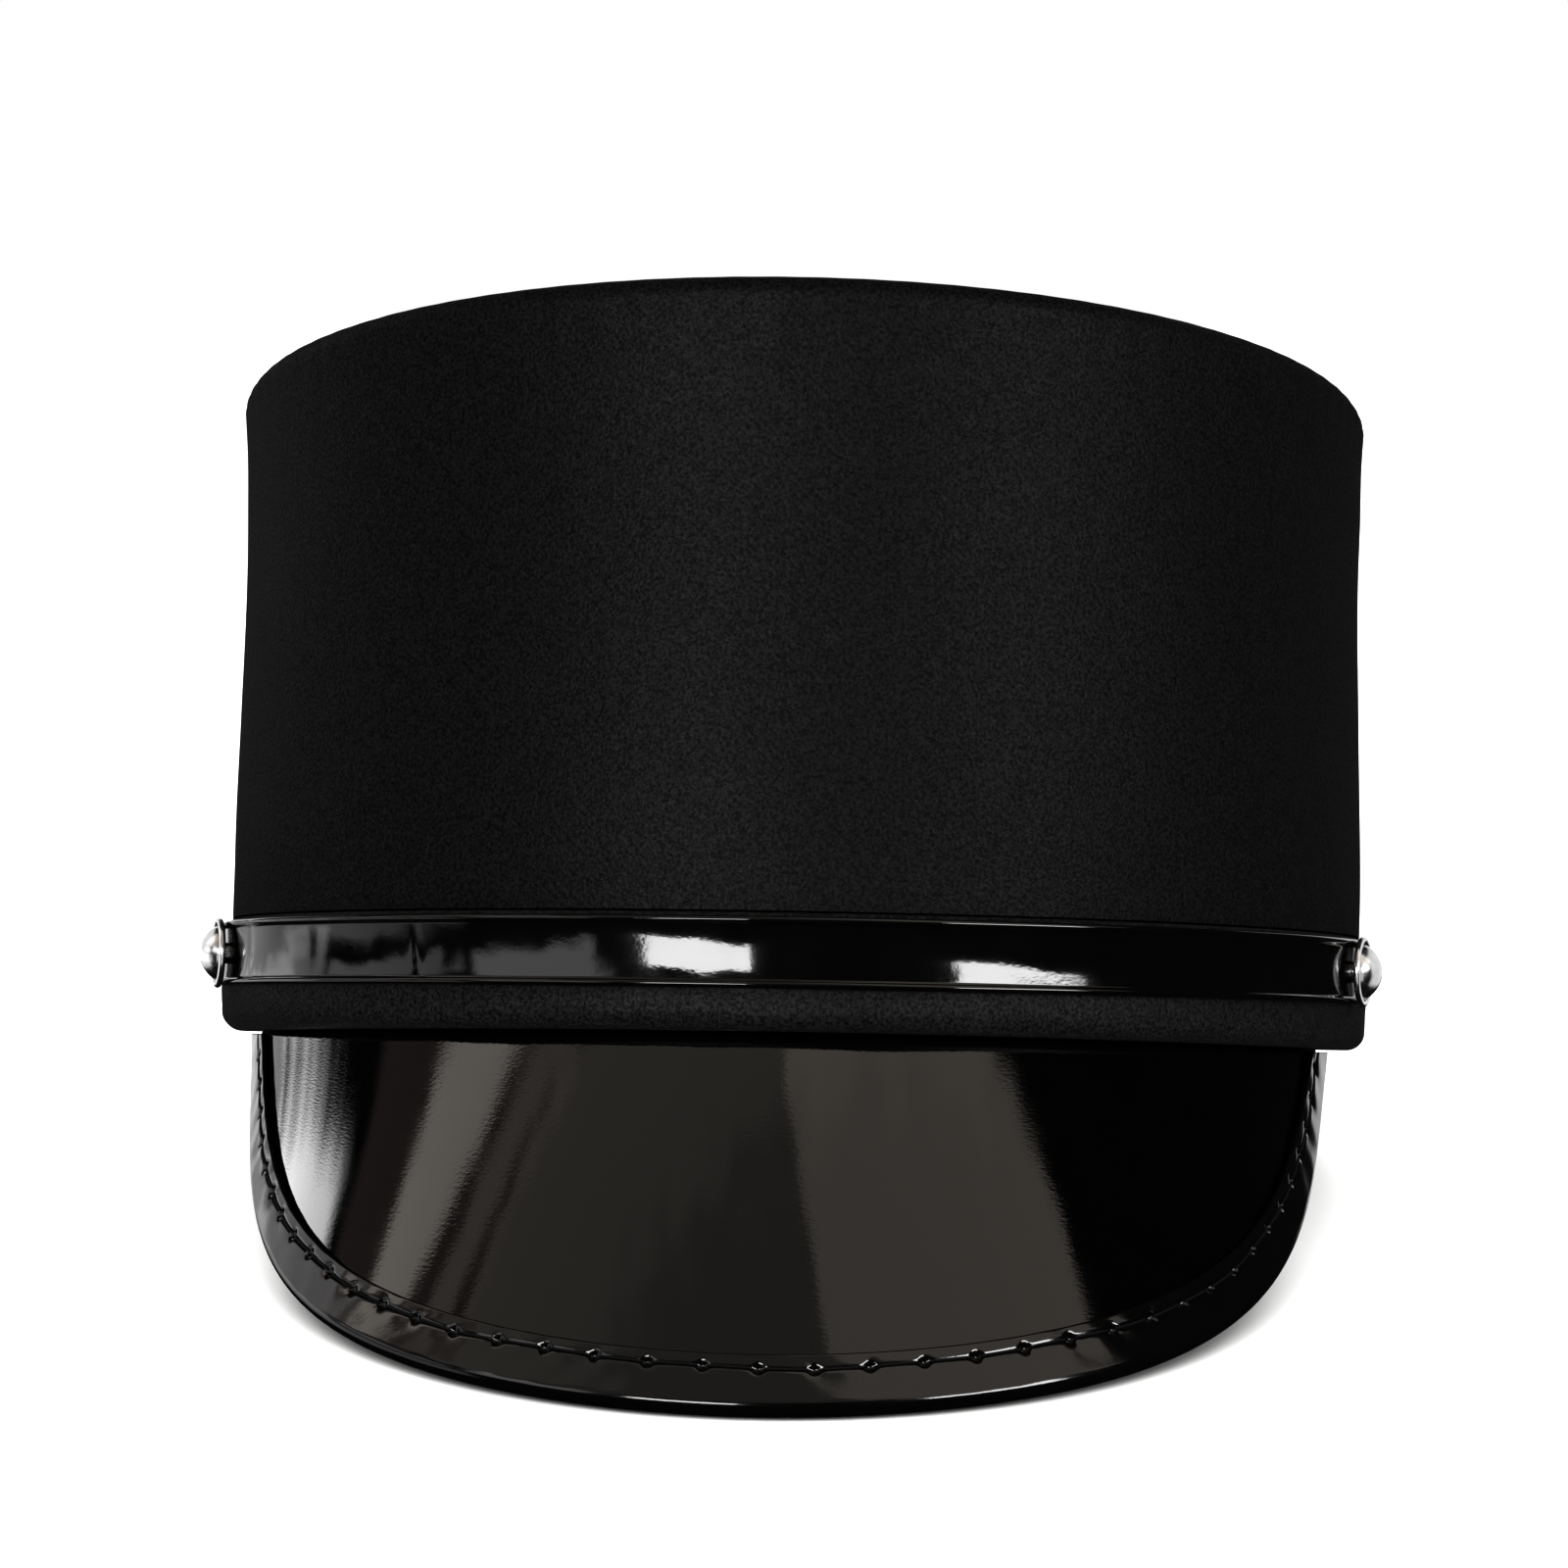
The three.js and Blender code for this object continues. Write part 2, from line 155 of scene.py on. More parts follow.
class CrownSizes(bpy.types.PropertyGroup):
    """Side panel and top panel of the crown"""

    height: length("Height", "From the headband to the top plane, at the side", 80)
    front_rise: length("Front rise", "How much higher the top plane is at the front than at the side", 5.8)
    wall: length("Wall", "Thickness of the lined cloth", 2)
    set_back: length("Set back", "How far the crown stands inside the headband's face", 0.7)
    waist_pull: length("Waist pull", "How far the side panel draws in at its waist", 0.9)
    edge_round: length("Edge round", "Radius of the folded top edge", 3)
    top_fold: length("Top fold", "Width of the fold that turns over the top", 2)
    dome: length("Dome", "Rise of the top panel's middle", 1.2)
    swell: length("Swell", "Depth of the cloth's broad soft dents", 0.3)
    pucker: length("Pucker", "Height of the small puckers along a seam", 0.05)
    pucker_pitch: length("Pucker pitch", "Distance from pucker to pucker", 6.5)
    seam_width: length("Seam width", "Width of a pressed seam's groove", 0.7)
    seam_depth: length("Seam depth", "Depth of a pressed seam's groove", 0.45)
    dip_width: length("Dip width", "Width over which the top panel dips into its seam", 1.1)
    taut_edge: length("Taut edge", "Width along the top seam in which the dents fade out", 18)
    cloth: colour("Cloth", "Dyed twill of the crown", "#0b0b0b")


class BandSizes(bpy.types.PropertyGroup):
    """Padded headband"""

    thickness: length("Thickness", "Of the padded ring", 4)
    height: length("Height", "Of the ring at its sides", 17)
    bottom_round: length("Bottom round", "Radius of its lower corner outside", 2.6)
    inside_round: length("Inside round", "Radius of its lower corner inside", 1.2)
    top_round: length("Top round", "Radius of its upper corners", 0.9)
    front_lift: length("Front lift", "How much its lower edge lifts over the visor", 1.2)
    puff: length("Puff", "How far the padding swells where no strap holds it", 0.5)
    puff_start: length("Puff start", "Length past the strap's end in which the swelling sets in", 6)
    cloth: colour("Cloth", "Dyed twill of the headband", "#131313")


class StrapSizes(bpy.types.PropertyGroup):
    """Patent strap round the front of the headband"""

    width: length("Width", "Across the strap", 9.7)
    thickness: length("Thickness", "Over its raised edges", 1.2)
    above_edge: length("Above the edge", "From the headband's lower edge to the strap", 6.8)
    tail: length("Tail", "From a button's middle to the strap's end", 6.6)
    end_width: length("End width", "Straight part of the rounded end", 3)
    bead: length("Bead", "Radius of the raised line along each edge", 0.55)
    dish: length("Dish", "How much the face hollows between its beads", 0.3)
    wave: length("Wave", "Depth of the strap's slow waves", 0.05)
    slack: number("Slack", "How many times deeper they grow on the wearer's right", 1.6)
    slack_from: length("Slack from", "From the front to where they start to grow", 20)
    slack_within: length("Slack within", "Length in which they grow", 25)
    film: colour("Film", "Black patent of the strap", "#020202")


class ButtonSizes(bpy.types.PropertyGroup):
    """Silver buttons at the ends of the strap"""

    place: turn("Place", "Turn from the front to a button", 70)
    diameter: length("Diameter", "Over the rolled rim", 10.5)
    height: length("Height", "From its back to the tip", 3.3)
    rim: length("Rim", "Radius of the rolled rim", 0.5)
    shank: length("Shank", "How far the shank reaches into the strap", 0.8)
    shank_radius: length("Shank radius", "Of the round shank", 1.6)
    metal: colour("Metal", "Nickel plating", "#c8c9cb")


class VisorSizes(bpy.types.PropertyGroup):
    """Patent visor, measured down its slope from the crease under the headband"""

    length: length("Length", "Down the slope at the front", 57.5)
    thickness: length("Thickness", "Of the sheet", 1.2)
    spread: turn("Spread", "Turn from the front to each end", 72)
    slope: turn("Slope", "Below level, at the front", 56)
    steeper: turn("Steeper", "How much steeper it is at its ends", 30)
    fullness: number("Fullness", "Power that rounds the rim's outline", 1.9)
    bow: length("Bow", "How far the sheet bows out between crease and rim", 0.8)
    tuck: length("Tuck", "How far the crease comes out under the headband at the front", 1.9)
    flange: length("Flange", "Height of the flange inside the headband", 5)
    crease_drop: length("Crease drop", "From the headband's edge down to the crease", 0.6)
    least_reach: length("Least reach", "Length at which the sheet ends at the sides", 4)
    wave: length("Wave", "Depth of the sheet's slow waves", 0.02)
    film: colour("Film", "Black patent of the visor", "#010101")


class BindingSizes(bpy.types.PropertyGroup):
    """Patent strip folded round the visor's rim, and its stitches"""

    width: length("Width", "From the rim to the strip's edge", 8)
    wall: length("Wall", "Thickness of the strip", 0.7)
    lip: length("Lip", "From the strip's edge to the stitches", 1.9)
    stitch: length("Stitch", "From hole to hole", 7)
    hole: length("Hole", "Radius of the pit that a stitch pulls in", 0.68)
    hole_depth: length("Hole depth", "Depth of that pit", 0.5)
    groove: length("Groove", "Depth of the line that the thread presses", 0.14)
    ruck: length("Ruck", "Height of the small folds between stitches", 0.05)
    ruck_width: length("Ruck width", "Reach of those folds beside the stitches", 2.2)
    thread: length("Thread", "Diameter of the thread", 0.34)
    film: colour("Film", "Black patent of the binding", "#020202")
    yarn: colour("Yarn", "Sewing thread", "#0b0b0c")


class StudioLook(bpy.types.PropertyGroup):
    """Camera, floor and lights"""

    distance: length("Camera distance", "From the cap's upright axis", 650)
    floor_side: length("Floor side", "Side of the square floor", 9000)
    floor: colour("Floor", "Seamless white paper", "#f6f6f5")
    fill: number("Fill", "Brightness of the room on matt surfaces", 1.5)
    behind: number("Behind", "How many times brighter the room is behind the cap on matt surfaces", 2.8)
    room: number("Room", "Brightness of the room in glossy surfaces", 0.01)


class CapSettings(bpy.types.PropertyGroup):
    """All that a user would change"""

    head: PointerProperty(type=HeadSizes)
    crown: PointerProperty(type=CrownSizes)
    band: PointerProperty(type=BandSizes)
    strap: PointerProperty(type=StrapSizes)
    button: PointerProperty(type=ButtonSizes)
    visor: PointerProperty(type=VisorSizes)
    binding: PointerProperty(type=BindingSizes)
    studio: PointerProperty(type=StudioLook)


def cap():
    return bpy.context.scene.conductor_cap


# Offsets from the oval of the head


def crown_outside():
    return cap().band.thickness - cap().crown.set_back


def crown_shoulder():
    return crown_outside() - cap().crown.waist_pull * CROWN_WAIST[-1][1]


def crown_seam():
    return crown_shoulder() - cap().crown.edge_round - cap().crown.top_fold


def strap_seat():
    return cap().band.thickness + cap().head.gap


def button_seat():
    return strap_seat() + cap().strap.thickness + cap().head.gap


def visor_middle():
    return -(cap().head.gap + cap().visor.thickness / 2)


# Heights over the headband's lower edge, and over the middle of the visor's sheet


def crown_foot():
    return cap().band.height + cap().head.gap


def crown_top():
    return crown_foot() + cap().crown.height


def strap_middle():
    return cap().strap.above_edge + cap().strap.width / 2


def binding_top():
    return cap().visor.thickness / 2 + cap().head.gap + cap().binding.wall


# Shapes as whole arrays


def oval(angle, offset, height):
    """Points on the head's oval grown by an offset: half width times sine, and minus half length times
    cosine."""
    head = cap().head
    x = (head.half_width + offset) * np.sin(angle)
    y = -(head.half_length + offset) * np.cos(angle)
    return np.stack(np.broadcast_arrays(x, y, height), axis=-1)


def unit(vectors):
    return vectors / np.linalg.norm(vectors, axis=-1, keepdims=True)


def oval_out(angle, offset):
    """Level direction straight out of the oval: sine over half width, minus cosine over half length."""
    head = cap().head
    x = np.sin(angle) / (head.half_width + offset)
    y = -np.cos(angle) / (head.half_length + offset)
    return unit(np.stack(np.broadcast_arrays(x, y, 0.0), axis=-1))


def travel(points):
    """Length passed at each point of a line of points, from 0 at its first."""
    steps = np.linalg.norm(np.diff(points, axis=0), axis=-1)
    return np.concatenate([[0.0], np.cumsum(steps)])


def oval_travel(angle):
    """Length along the oval from the front to each angle, measured with its sign."""
    length_passed = travel(oval(angle, cap().band.thickness, 0.0))
    return length_passed - np.interp(0.0, angle, length_passed)


def curve_through(table, share):
    """Smooth curve through a table of pairs: cubic pieces whose slopes are the table's own gradients."""
    x, y = np.array(table).T
    slope = np.gradient(y, x)
    i = np.clip(np.searchsorted(x, share, side="right") - 1, 0, len(x) - 2)
    step = x[i + 1] - x[i]
    t = (share - x[i]) / step
    start = (1 + 2 * t) * (1 - t) ** 2 * y[i] + t * (1 - t) ** 2 * step * slope[i]
    end = t ** 2 * (3 - 2 * t) * y[i + 1] - t ** 2 * (1 - t) * step * slope[i + 1]
    return start + end


def ease(share):
    """Share from 0 to 1 with level ends: three squares less two cubes."""
    t = np.clip(share, 0, 1)
    return t * t * (3 - 2 * t)


def ease_ends(share, width):
    """Shares from -1 to 1 packed closer towards both ends: the gap to the end, times itself plus the width
    given, over one plus that width."""
    gap = 1 - np.abs(share)
    return np.sign(share) * (1 - gap * (width + gap) / (1 + width))


def hump(distance, width):
    """Bell of height 1: e to the minus square of distance over width."""
    return np.exp(-(distance / width) ** 2)


def ripple(points, wavelength, seed):
    """Soft random swell of about -1 to 1: the sum of plane waves of one length in random directions, over
    the root of their number."""
    random = np.random.default_rng(seed)
    way = unit(random.normal(size=(RIPPLE_WAVES, 3))) * 2 * np.pi / wavelength
    phase = random.uniform(0, 2 * np.pi, RIPPLE_WAVES)
    return np.cos(points @ way.T + phase).sum(axis=-1) / math.sqrt(RIPPLE_WAVES)


def waves(points, piece):
    """Sum of a piece's soft waves."""
    return sum(share * ripple(points, length_mm * MM, seed) for share, length_mm, seed in WAVES[piece])


def quarter(centre_offset, centre_height, radius, from_degrees):
    """Quarter circle as offsets and heights: centre plus radius times cosine and sine."""
    angle = np.radians(np.linspace(from_degrees, from_degrees + 90, ROUND_STEPS + 1))
    return centre_offset + radius * np.cos(angle), centre_height + radius * np.sin(angle)


def ring_angles():
    """Angles once round from the back, closer together beside the seam at the back."""
    near = SEAM_ZONE / cap().head.half_width
    fine = np.linspace(0, near, SEAM_STEPS + 1)
    wide = np.linspace(-np.pi + near, np.pi - near, RING_STEPS)
    return np.concatenate([-np.pi + fine[:-1], wide, np.pi - fine[-2::-1]])


def band_lift(angle):
    """Lift of the headband's lower edge over the visor: front lift times the square of the cosine."""
    return cap().band.front_lift * np.clip(np.cos(angle), 0, 1) ** 2


def back_seam(angle):
    """Depth profile of the pressed seam at the back: a groove between two soft ridges."""
    crown = cap().crown
    along = np.abs(oval_travel(angle))
    away = along.max() - along
    groove = hump(away, crown.seam_width)
    ridges = 0.5 * hump(away - 3 * crown.seam_width, 2 * crown.seam_width)
    return crown.seam_depth * (ridges - groove)


def top_plane(y):
    """Height of the crown's sloping top, which falls by the front rise in each half length to the back."""
    crown = cap().crown
    return crown_top() - crown.front_rise * y / (cap().head.half_length + crown_outside())


def seam_pucker(angle, distance):
    """Small puckers along the top seam: a slowly drifting cosine of the length passed, which fades with
    distance from the seam."""
    crown = cap().crown
    along = oval_travel(angle)
    drift = 0.9 * np.sin(along / (23 * MM)) + 0.6 * np.sin(along / (61 * MM) + 1)
    wave = np.cos(2 * np.pi * along / crown.pucker_pitch + drift)
    return crown.pucker * wave[:, None] * hump(distance, crown.pucker_pitch)


def rest_place():
    """Turn and shift from the upright cap to the resting one. The top face's axis in the frame leans back
    by the rest tilt and by the slope of the top, and its point is the middle of the top panel."""
    crown = cap().crown
    axis = TOP_FACE["axis"]
    slope = math.atan(crown.front_rise / (cap().head.half_length + crown_outside()))
    tilt = math.atan2(axis[1], axis[2]) - slope
    spin = np.array(Matrix.Rotation(-tilt, 3, "X"))
    middle = np.array([0.0, 0.0, crown_top() + crown.dome])
    return spin, np.array(TOP_FACE["pos_m"]) - spin @ middle


def rested(points):
    spin, place = rest_place()
    return points @ spin.T + place


# Meshes and pieces


def place_object(name, data):
    """New object of the scene, at its origin."""
    made = bpy.data.objects.new(name, data)
    bpy.context.scene.collection.objects.link(made)
    return made


def skin(name, grids, uv, crease_degrees=50):
    """Mesh over one or more grids of upright points. Four neighbours make a face, points that coincide are
    joined, as at a pole or where a section closes, and faces look outwards, which is where the enclosed
    volume is positive."""
    grids = grids.reshape(-1, *grids.shape[-3:])
    count, rows, columns = grids.shape[:3]
    index = np.arange(count * rows * columns).reshape(count, rows, columns)
    corners = [index[:, :-1, :-1], index[:, 1:, :-1], index[:, 1:, 1:], index[:, :-1, 1:]]
    faces = np.stack(corners, axis=-1).reshape(-1, 4)
    points = rested(grids.reshape(-1, 3))
    first, second, third, fourth = (points[faces[:, i]] for i in range(4))
    volume = (np.cross(first - third, second - fourth) * (first + second + third + fourth)).sum()
    if volume < 0:
        faces = faces[:, ::-1]
    mesh = bpy.data.meshes.new(name)
    mesh.from_pydata(points.tolist(), [], faces.tolist())
    flat_uv = np.broadcast_to(uv, (count, rows, columns, 2)).reshape(-1, 2)
    lie = flat_uv[faces.ravel()].astype(np.float32)
    mesh.uv_layers.new(name="lie").uv.foreach_set("vector", lie.ravel())
    joined = bmesh.new()
    joined.from_mesh(mesh)
    bmesh.ops.remove_doubles(joined, verts=joined.verts, dist=MERGE_DISTANCE)
    joined.to_mesh(mesh)
    joined.free()
    mesh.shade_smooth()
    mesh.set_sharp_from_angle(angle=math.radians(crease_degrees))
    return place_object(name, mesh)


def lit_pieces(name):
    """Collection of the pieces that a light panel reaches, made when it is first asked for."""
    return bpy.data.collections.get(name) or bpy.data.collections.new(name)


def dress(piece, material, slot, *nodes):
    """Gives a piece its material and lights, and says which solids it stands for."""
    piece.data.materials.append(material)
    for name in LIT_AS[slot]:
        lit_pieces(name).objects.link(piece)
    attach(piece, BODY)
    if nodes:
        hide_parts(*nodes)
    return piece


def section_uv(points):
    """Lengths along a carried section and round it, in metres, so that a pattern keeps its real size."""
    along = travel(points[:, 0])
    across = travel(points[len(points) // 2])
    return np.stack(np.broadcast_arrays(along[:, None], across[None, :]), axis=-1)


def capped(points):
    """Closes both ends of a carried section by shrinking it to its middle in two steps."""
    ends = []
    for row in (points[0], points[-1]):
        middle = row.mean(axis=0)
        ends.append([middle + (row - middle) * share for share in (0.0, 0.5)])
    return np.concatenate([ends[0], points, ends[1][::-1]])


# Materials


def add_node(tree, kind, inputs=None, **settings):
    """Adds a node with its settings. An input that is a socket is linked, and any other value is set."""
    made = tree.nodes.new(kind)
    for name, value in settings.items():
        setattr(made, name, value)
    for name, value in (inputs or {}).items():
        if isinstance(value, bpy.types.NodeSocket):
            tree.links.new(value, made.inputs[name])
        else:
            made.inputs[name].default_value = value
    return made


def band_scale(pitch):
    """Scale at which the wave texture's diagonal bands lie a pitch in millimetres apart."""
    return 1 / (math.pi * pitch * MM)


def scaled(shade, share):
    """A colour made darker or lighter."""
    return (*(share * part for part in shade[:3]), 1.0)


def empty_tree(owner):
    """Turns on the nodes of a material, lamp or world and clears them."""
    owner.use_nodes = True
    owner.node_tree.nodes.clear()
    return owner.node_tree


def brushed_twill(name, shade):
    """Cotton twill, piece-dyed black and brushed: the ribs of the weave barely show through a short nap,
    which gives an even grain of lighter and darker tufts and a soft shine where a lamp faces it."""
    material = bpy.data.materials.new(name)
    tree = empty_tree(material)
    lie = add_node(tree, "ShaderNodeUVMap", uv_map="lie").outputs["UV"]
    place = add_node(tree, "ShaderNodeTexCoord").outputs["Object"]
    # Ribs are 0.7 mm apart, twice the real pitch, so that they still show in the render
    ribs = add_node(tree, "ShaderNodeTexWave", {
        "Vector": lie, "Scale": band_scale(0.7), "Distortion": 3.0, "Detail": 2.0, "Detail Scale": 2.0,
    }, wave_type="BANDS", bands_direction="DIAGONAL").outputs["Fac"]
    tufts = add_node(tree, "ShaderNodeTexNoise", {
        "Vector": place, "Scale": 1 / (0.45 * MM), "Detail": 2.0, "Roughness": 0.6}).outputs["Fac"]
    mottle = add_node(tree, "ShaderNodeTexNoise", {
        "Vector": place, "Scale": 1 / (3 * MM), "Detail": 3.0}).outputs["Fac"]
    lint = add_node(tree, "ShaderNodeTexNoise", {
        "Vector": place, "Scale": 1 / (1.1 * MM), "Detail": 2.0, "Roughness": 0.8}).outputs["Fac"]
    share = add_node(tree, "ShaderNodeMapRange", {
        "Value": tufts, "From Min": 0.36, "From Max": 0.64}).outputs["Result"]
    even = add_node(tree, "ShaderNodeMapRange", {
        "Value": mottle, "From Min": 0.3, "From Max": 0.7, "To Min": 0.8, "To Max": 1.0}).outputs["Result"]
    nap = add_node(tree, "ShaderNodeMath", {0: share, 1: even}, operation="MULTIPLY").outputs[0]
    dyed = add_node(tree, "ShaderNodeMix", {
        "Factor": nap, 6: scaled(shade, 0.25), 7: scaled(shade, 2.15)}, data_type="RGBA").outputs[2]
    fluff = add_node(tree, "ShaderNodeMapRange", {
        "Value": lint, "From Min": 0.76, "From Max": 0.84, "To Max": 0.5}).outputs["Result"]
    dusted = add_node(tree, "ShaderNodeMix", {
        "Factor": fluff, 6: dyed, 7: linear("#4a4a4c")}, data_type="RGBA").outputs[2]
    faint = add_node(tree, "ShaderNodeMath", {0: ribs, 1: 0.12}, operation="MULTIPLY").outputs[0]
    height = add_node(tree, "ShaderNodeMath", {0: tufts, 1: faint}, operation="ADD").outputs[0]
    relief = add_node(tree, "ShaderNodeBump", {
        "Height": height, "Strength": 1.0, "Distance": 0.13 * MM}).outputs["Normal"]
    rough = add_node(tree, "ShaderNodeMapRange", {
        "Value": tufts, "From Min": 0.3, "From Max": 0.7, "To Min": 0.56, "To Max": 0.37}).outputs["Result"]
    shader = add_node(tree, "ShaderNodeBsdfPrincipled", {
        "Base Color": dusted, "Roughness": rough, "Normal": relief, "IOR": 1.5, "Specular IOR Level": 0.085,
        "Sheen Weight": 0.012, "Sheen Roughness": 0.4, "Sheen Tint": (1, 1, 1, 1)})
    add_node(tree, "ShaderNodeOutputMaterial", {"Surface": shader.outputs[0]})
    return material


def patent_film(name, shade, roughness, grain_mm, grain_depth):
    """Patent: black polyurethane film on a woven backing. Its face is like a mirror, but the backing prints
    through as a very fine grain, so that the edges of reflections fray, and handling leaves faint
    smears."""
    material = bpy.data.materials.new(name)
    tree = empty_tree(material)
    lie = add_node(tree, "ShaderNodeUVMap", uv_map="lie").outputs["UV"]
    place = add_node(tree, "ShaderNodeTexCoord").outputs["Object"]
    stretched = add_node(tree, "ShaderNodeMapping", {"Vector": lie, "Scale": (0.7, 1.0, 1.0)}).outputs[0]
    grain = add_node(tree, "ShaderNodeTexNoise", {
        "Vector": stretched, "Scale": 1 / (grain_mm * MM), "Detail": 2.0, "Roughness": 0.6}).outputs["Fac"]
    smear = add_node(tree, "ShaderNodeTexNoise", {
        "Vector": place, "Scale": 1 / (9 * MM), "Detail": 4.0, "Roughness": 0.65}).outputs["Fac"]
    relief = add_node(tree, "ShaderNodeBump", {
        "Height": grain, "Strength": 1.0, "Distance": grain_depth * MM}).outputs["Normal"]
    rough = add_node(tree, "ShaderNodeMapRange", {
        "Value": smear, "From Min": 0.35, "From Max": 0.75,
        "To Min": roughness, "To Max": roughness + 0.05}).outputs["Result"]
    film = add_node(tree, "ShaderNodeMix", {
        "Factor": smear, 6: tuple(shade), 7: scaled(shade, 1.8)}, data_type="RGBA").outputs[2]
    shader = add_node(tree, "ShaderNodeBsdfPrincipled", {
        "Base Color": film, "Roughness": rough, "Normal": relief, "IOR": 1.52})
    add_node(tree, "ShaderNodeOutputMaterial", {"Surface": shader.outputs[0]})
    return material


def nickel_plate(name, shade):
    """Brass stamping plated with bright nickel: a warm-grey mirror, dulled a little by wear and fine
    scratches."""
    material = bpy.data.materials.new(name)
    tree = empty_tree(material)
    place = add_node(tree, "ShaderNodeTexCoord").outputs["Object"]
    wear = add_node(tree, "ShaderNodeTexNoise", {
        "Vector": place, "Scale": 1 / (1.6 * MM), "Detail": 4.0, "Roughness": 0.7}).outputs["Fac"]
    rough = add_node(tree, "ShaderNodeMapRange", {
        "Value": wear, "From Min": 0.35, "From Max": 0.7, "To Min": 0.14, "To Max": 0.3}).outputs["Result"]
    relief = add_node(tree, "ShaderNodeBump", {
        "Height": wear, "Strength": 0.5, "Distance": 0.02 * MM}).outputs["Normal"]
    plate = add_node(tree, "ShaderNodeMix", {
        "Factor": wear, 6: tuple(shade), 7: linear("#a9a8a6")}, data_type="RGBA").outputs[2]
    shader = add_node(tree, "ShaderNodeBsdfPrincipled", {
        "Base Color": plate, "Roughness": rough, "Normal": relief, "Metallic": 1.0})
    add_node(tree, "ShaderNodeOutputMaterial", {"Surface": shader.outputs[0]})
    return material


def twisted_thread(name, shade):
    """Black polyester sewing thread: three plies twisted together, which catch light as slanting lines. Its
    colour is darkened in the grooves between the plies as painted shade.
    """
    material = bpy.data.materials.new(name)
    tree = empty_tree(material)
    lie = add_node(tree, "ShaderNodeUVMap", uv_map="lie").outputs["UV"]
    plies = add_node(tree, "ShaderNodeTexWave", {
        "Vector": lie, "Scale": band_scale(0.5), "Distortion": 0.4,
    }, wave_type="BANDS", bands_direction="DIAGONAL").outputs["Fac"]
    relief = add_node(tree, "ShaderNodeBump", {
        "Height": plies, "Strength": 0.8, "Distance": 0.05 * MM}).outputs["Normal"]
    # Painted shade: the thread's colour falls to half in the grooves between the plies, where the bump is
    # low
    yarn = add_node(tree, "ShaderNodeMix", {
        "Factor": plies, 6: scaled(shade, 0.5), 7: tuple(shade)}, data_type="RGBA").outputs[2]
    shader = add_node(tree, "ShaderNodeBsdfPrincipled", {
        "Base Color": yarn, "Roughness": 0.7, "Normal": relief, "IOR": 1.54, "Specular IOR Level": 0.12})
    add_node(tree, "ShaderNodeOutputMaterial", {"Surface": shader.outputs[0]})
    return material


def seamless_paper(name, shade):
    """Matt white background paper, with a barely visible mottle."""
    material = bpy.data.materials.new(name)
    tree = empty_tree(material)
    place = add_node(tree, "ShaderNodeTexCoord").outputs["Object"]
    mottle = add_node(tree, "ShaderNodeTexNoise", {"Vector": place, "Scale": 1 / (60 * MM)}).outputs["Fac"]
    paper = add_node(tree, "ShaderNodeMix", {
        "Factor": mottle, 6: tuple(shade), 7: scaled(shade, 0.985)}, data_type="RGBA").outputs[2]
    shader = add_node(tree, "ShaderNodeBsdfPrincipled", {
        "Base Color": paper, "Roughness": 0.9, "Specular IOR Level": 0.0})
    add_node(tree, "ShaderNodeOutputMaterial", {"Surface": shader.outputs[0]})
    return material


# Crown


def make_crown_side():
    """Side panel as one closed section carried round the oval: up the outside, over a quarter circle, along
    the fold to the seam, and back down the inside. The outside swells softly, is pressed in at the back
    seam and puckers towards the top seam."""
    crown = cap().crown
    angle = ring_angles()
    around = angle[:, None]
    share = np.linspace(0, 1, PANEL_ROWS)[None, :]
    pull = crown.waist_pull * curve_through(CROWN_WAIST, share)
    round_foot = crown_shoulder() - crown.edge_round
    ridge = back_seam(angle)[:, None]

    def under_top(offset, drop):
        flat = oval(around, offset, 0.0)
        flat[..., 2] = top_plane(flat[..., 1]) - drop
        return flat

    def panel(offset):
        top = under_top(offset, crown.edge_round)
        top[..., 2] = crown_foot() + (top[..., 2] - crown_foot()) * share
        return top

    outside = panel(crown_outside() - pull)
    free = ease(share / 0.12) * ease((1 - share) / 0.2)
    swell = crown.swell * waves(outside, "crown_side") * free
    pucker = seam_pucker(angle, (1 - share) * crown.height)
    outside += oval_out(around, crown_outside()) * (swell + ridge + pucker)[..., None]
    round_offset, round_height = quarter(round_foot, 0.0, crown.edge_round, 0)
    pressed = ridge + seam_pucker(angle, 0.0)
    over = under_top(round_offset + pressed, crown.edge_round - round_height)
    fold = np.linspace(0, 1, ROUND_STEPS)[None, 1:]
    dip = crown.seam_depth * fold ** 4 - pressed * (1 - fold ** 2)
    turned_in = under_top(round_foot - crown.top_fold * fold, dip)
    ceiling = under_top(np.array([[crown_seam(), round_foot]]), crown.wall)
    inside = panel(crown_outside() - pull - crown.wall)[:, ::-3]
    section = np.concatenate([outside, over[:, 1:], turned_in, ceiling, inside, outside[:, :1]], axis=1)
    piece = skin("crown_side_cloth", section, section_uv(section))
    return dress(piece, brushed_twill("black_brushed_twill", crown.cloth), "crown_cloth", "crown_side")


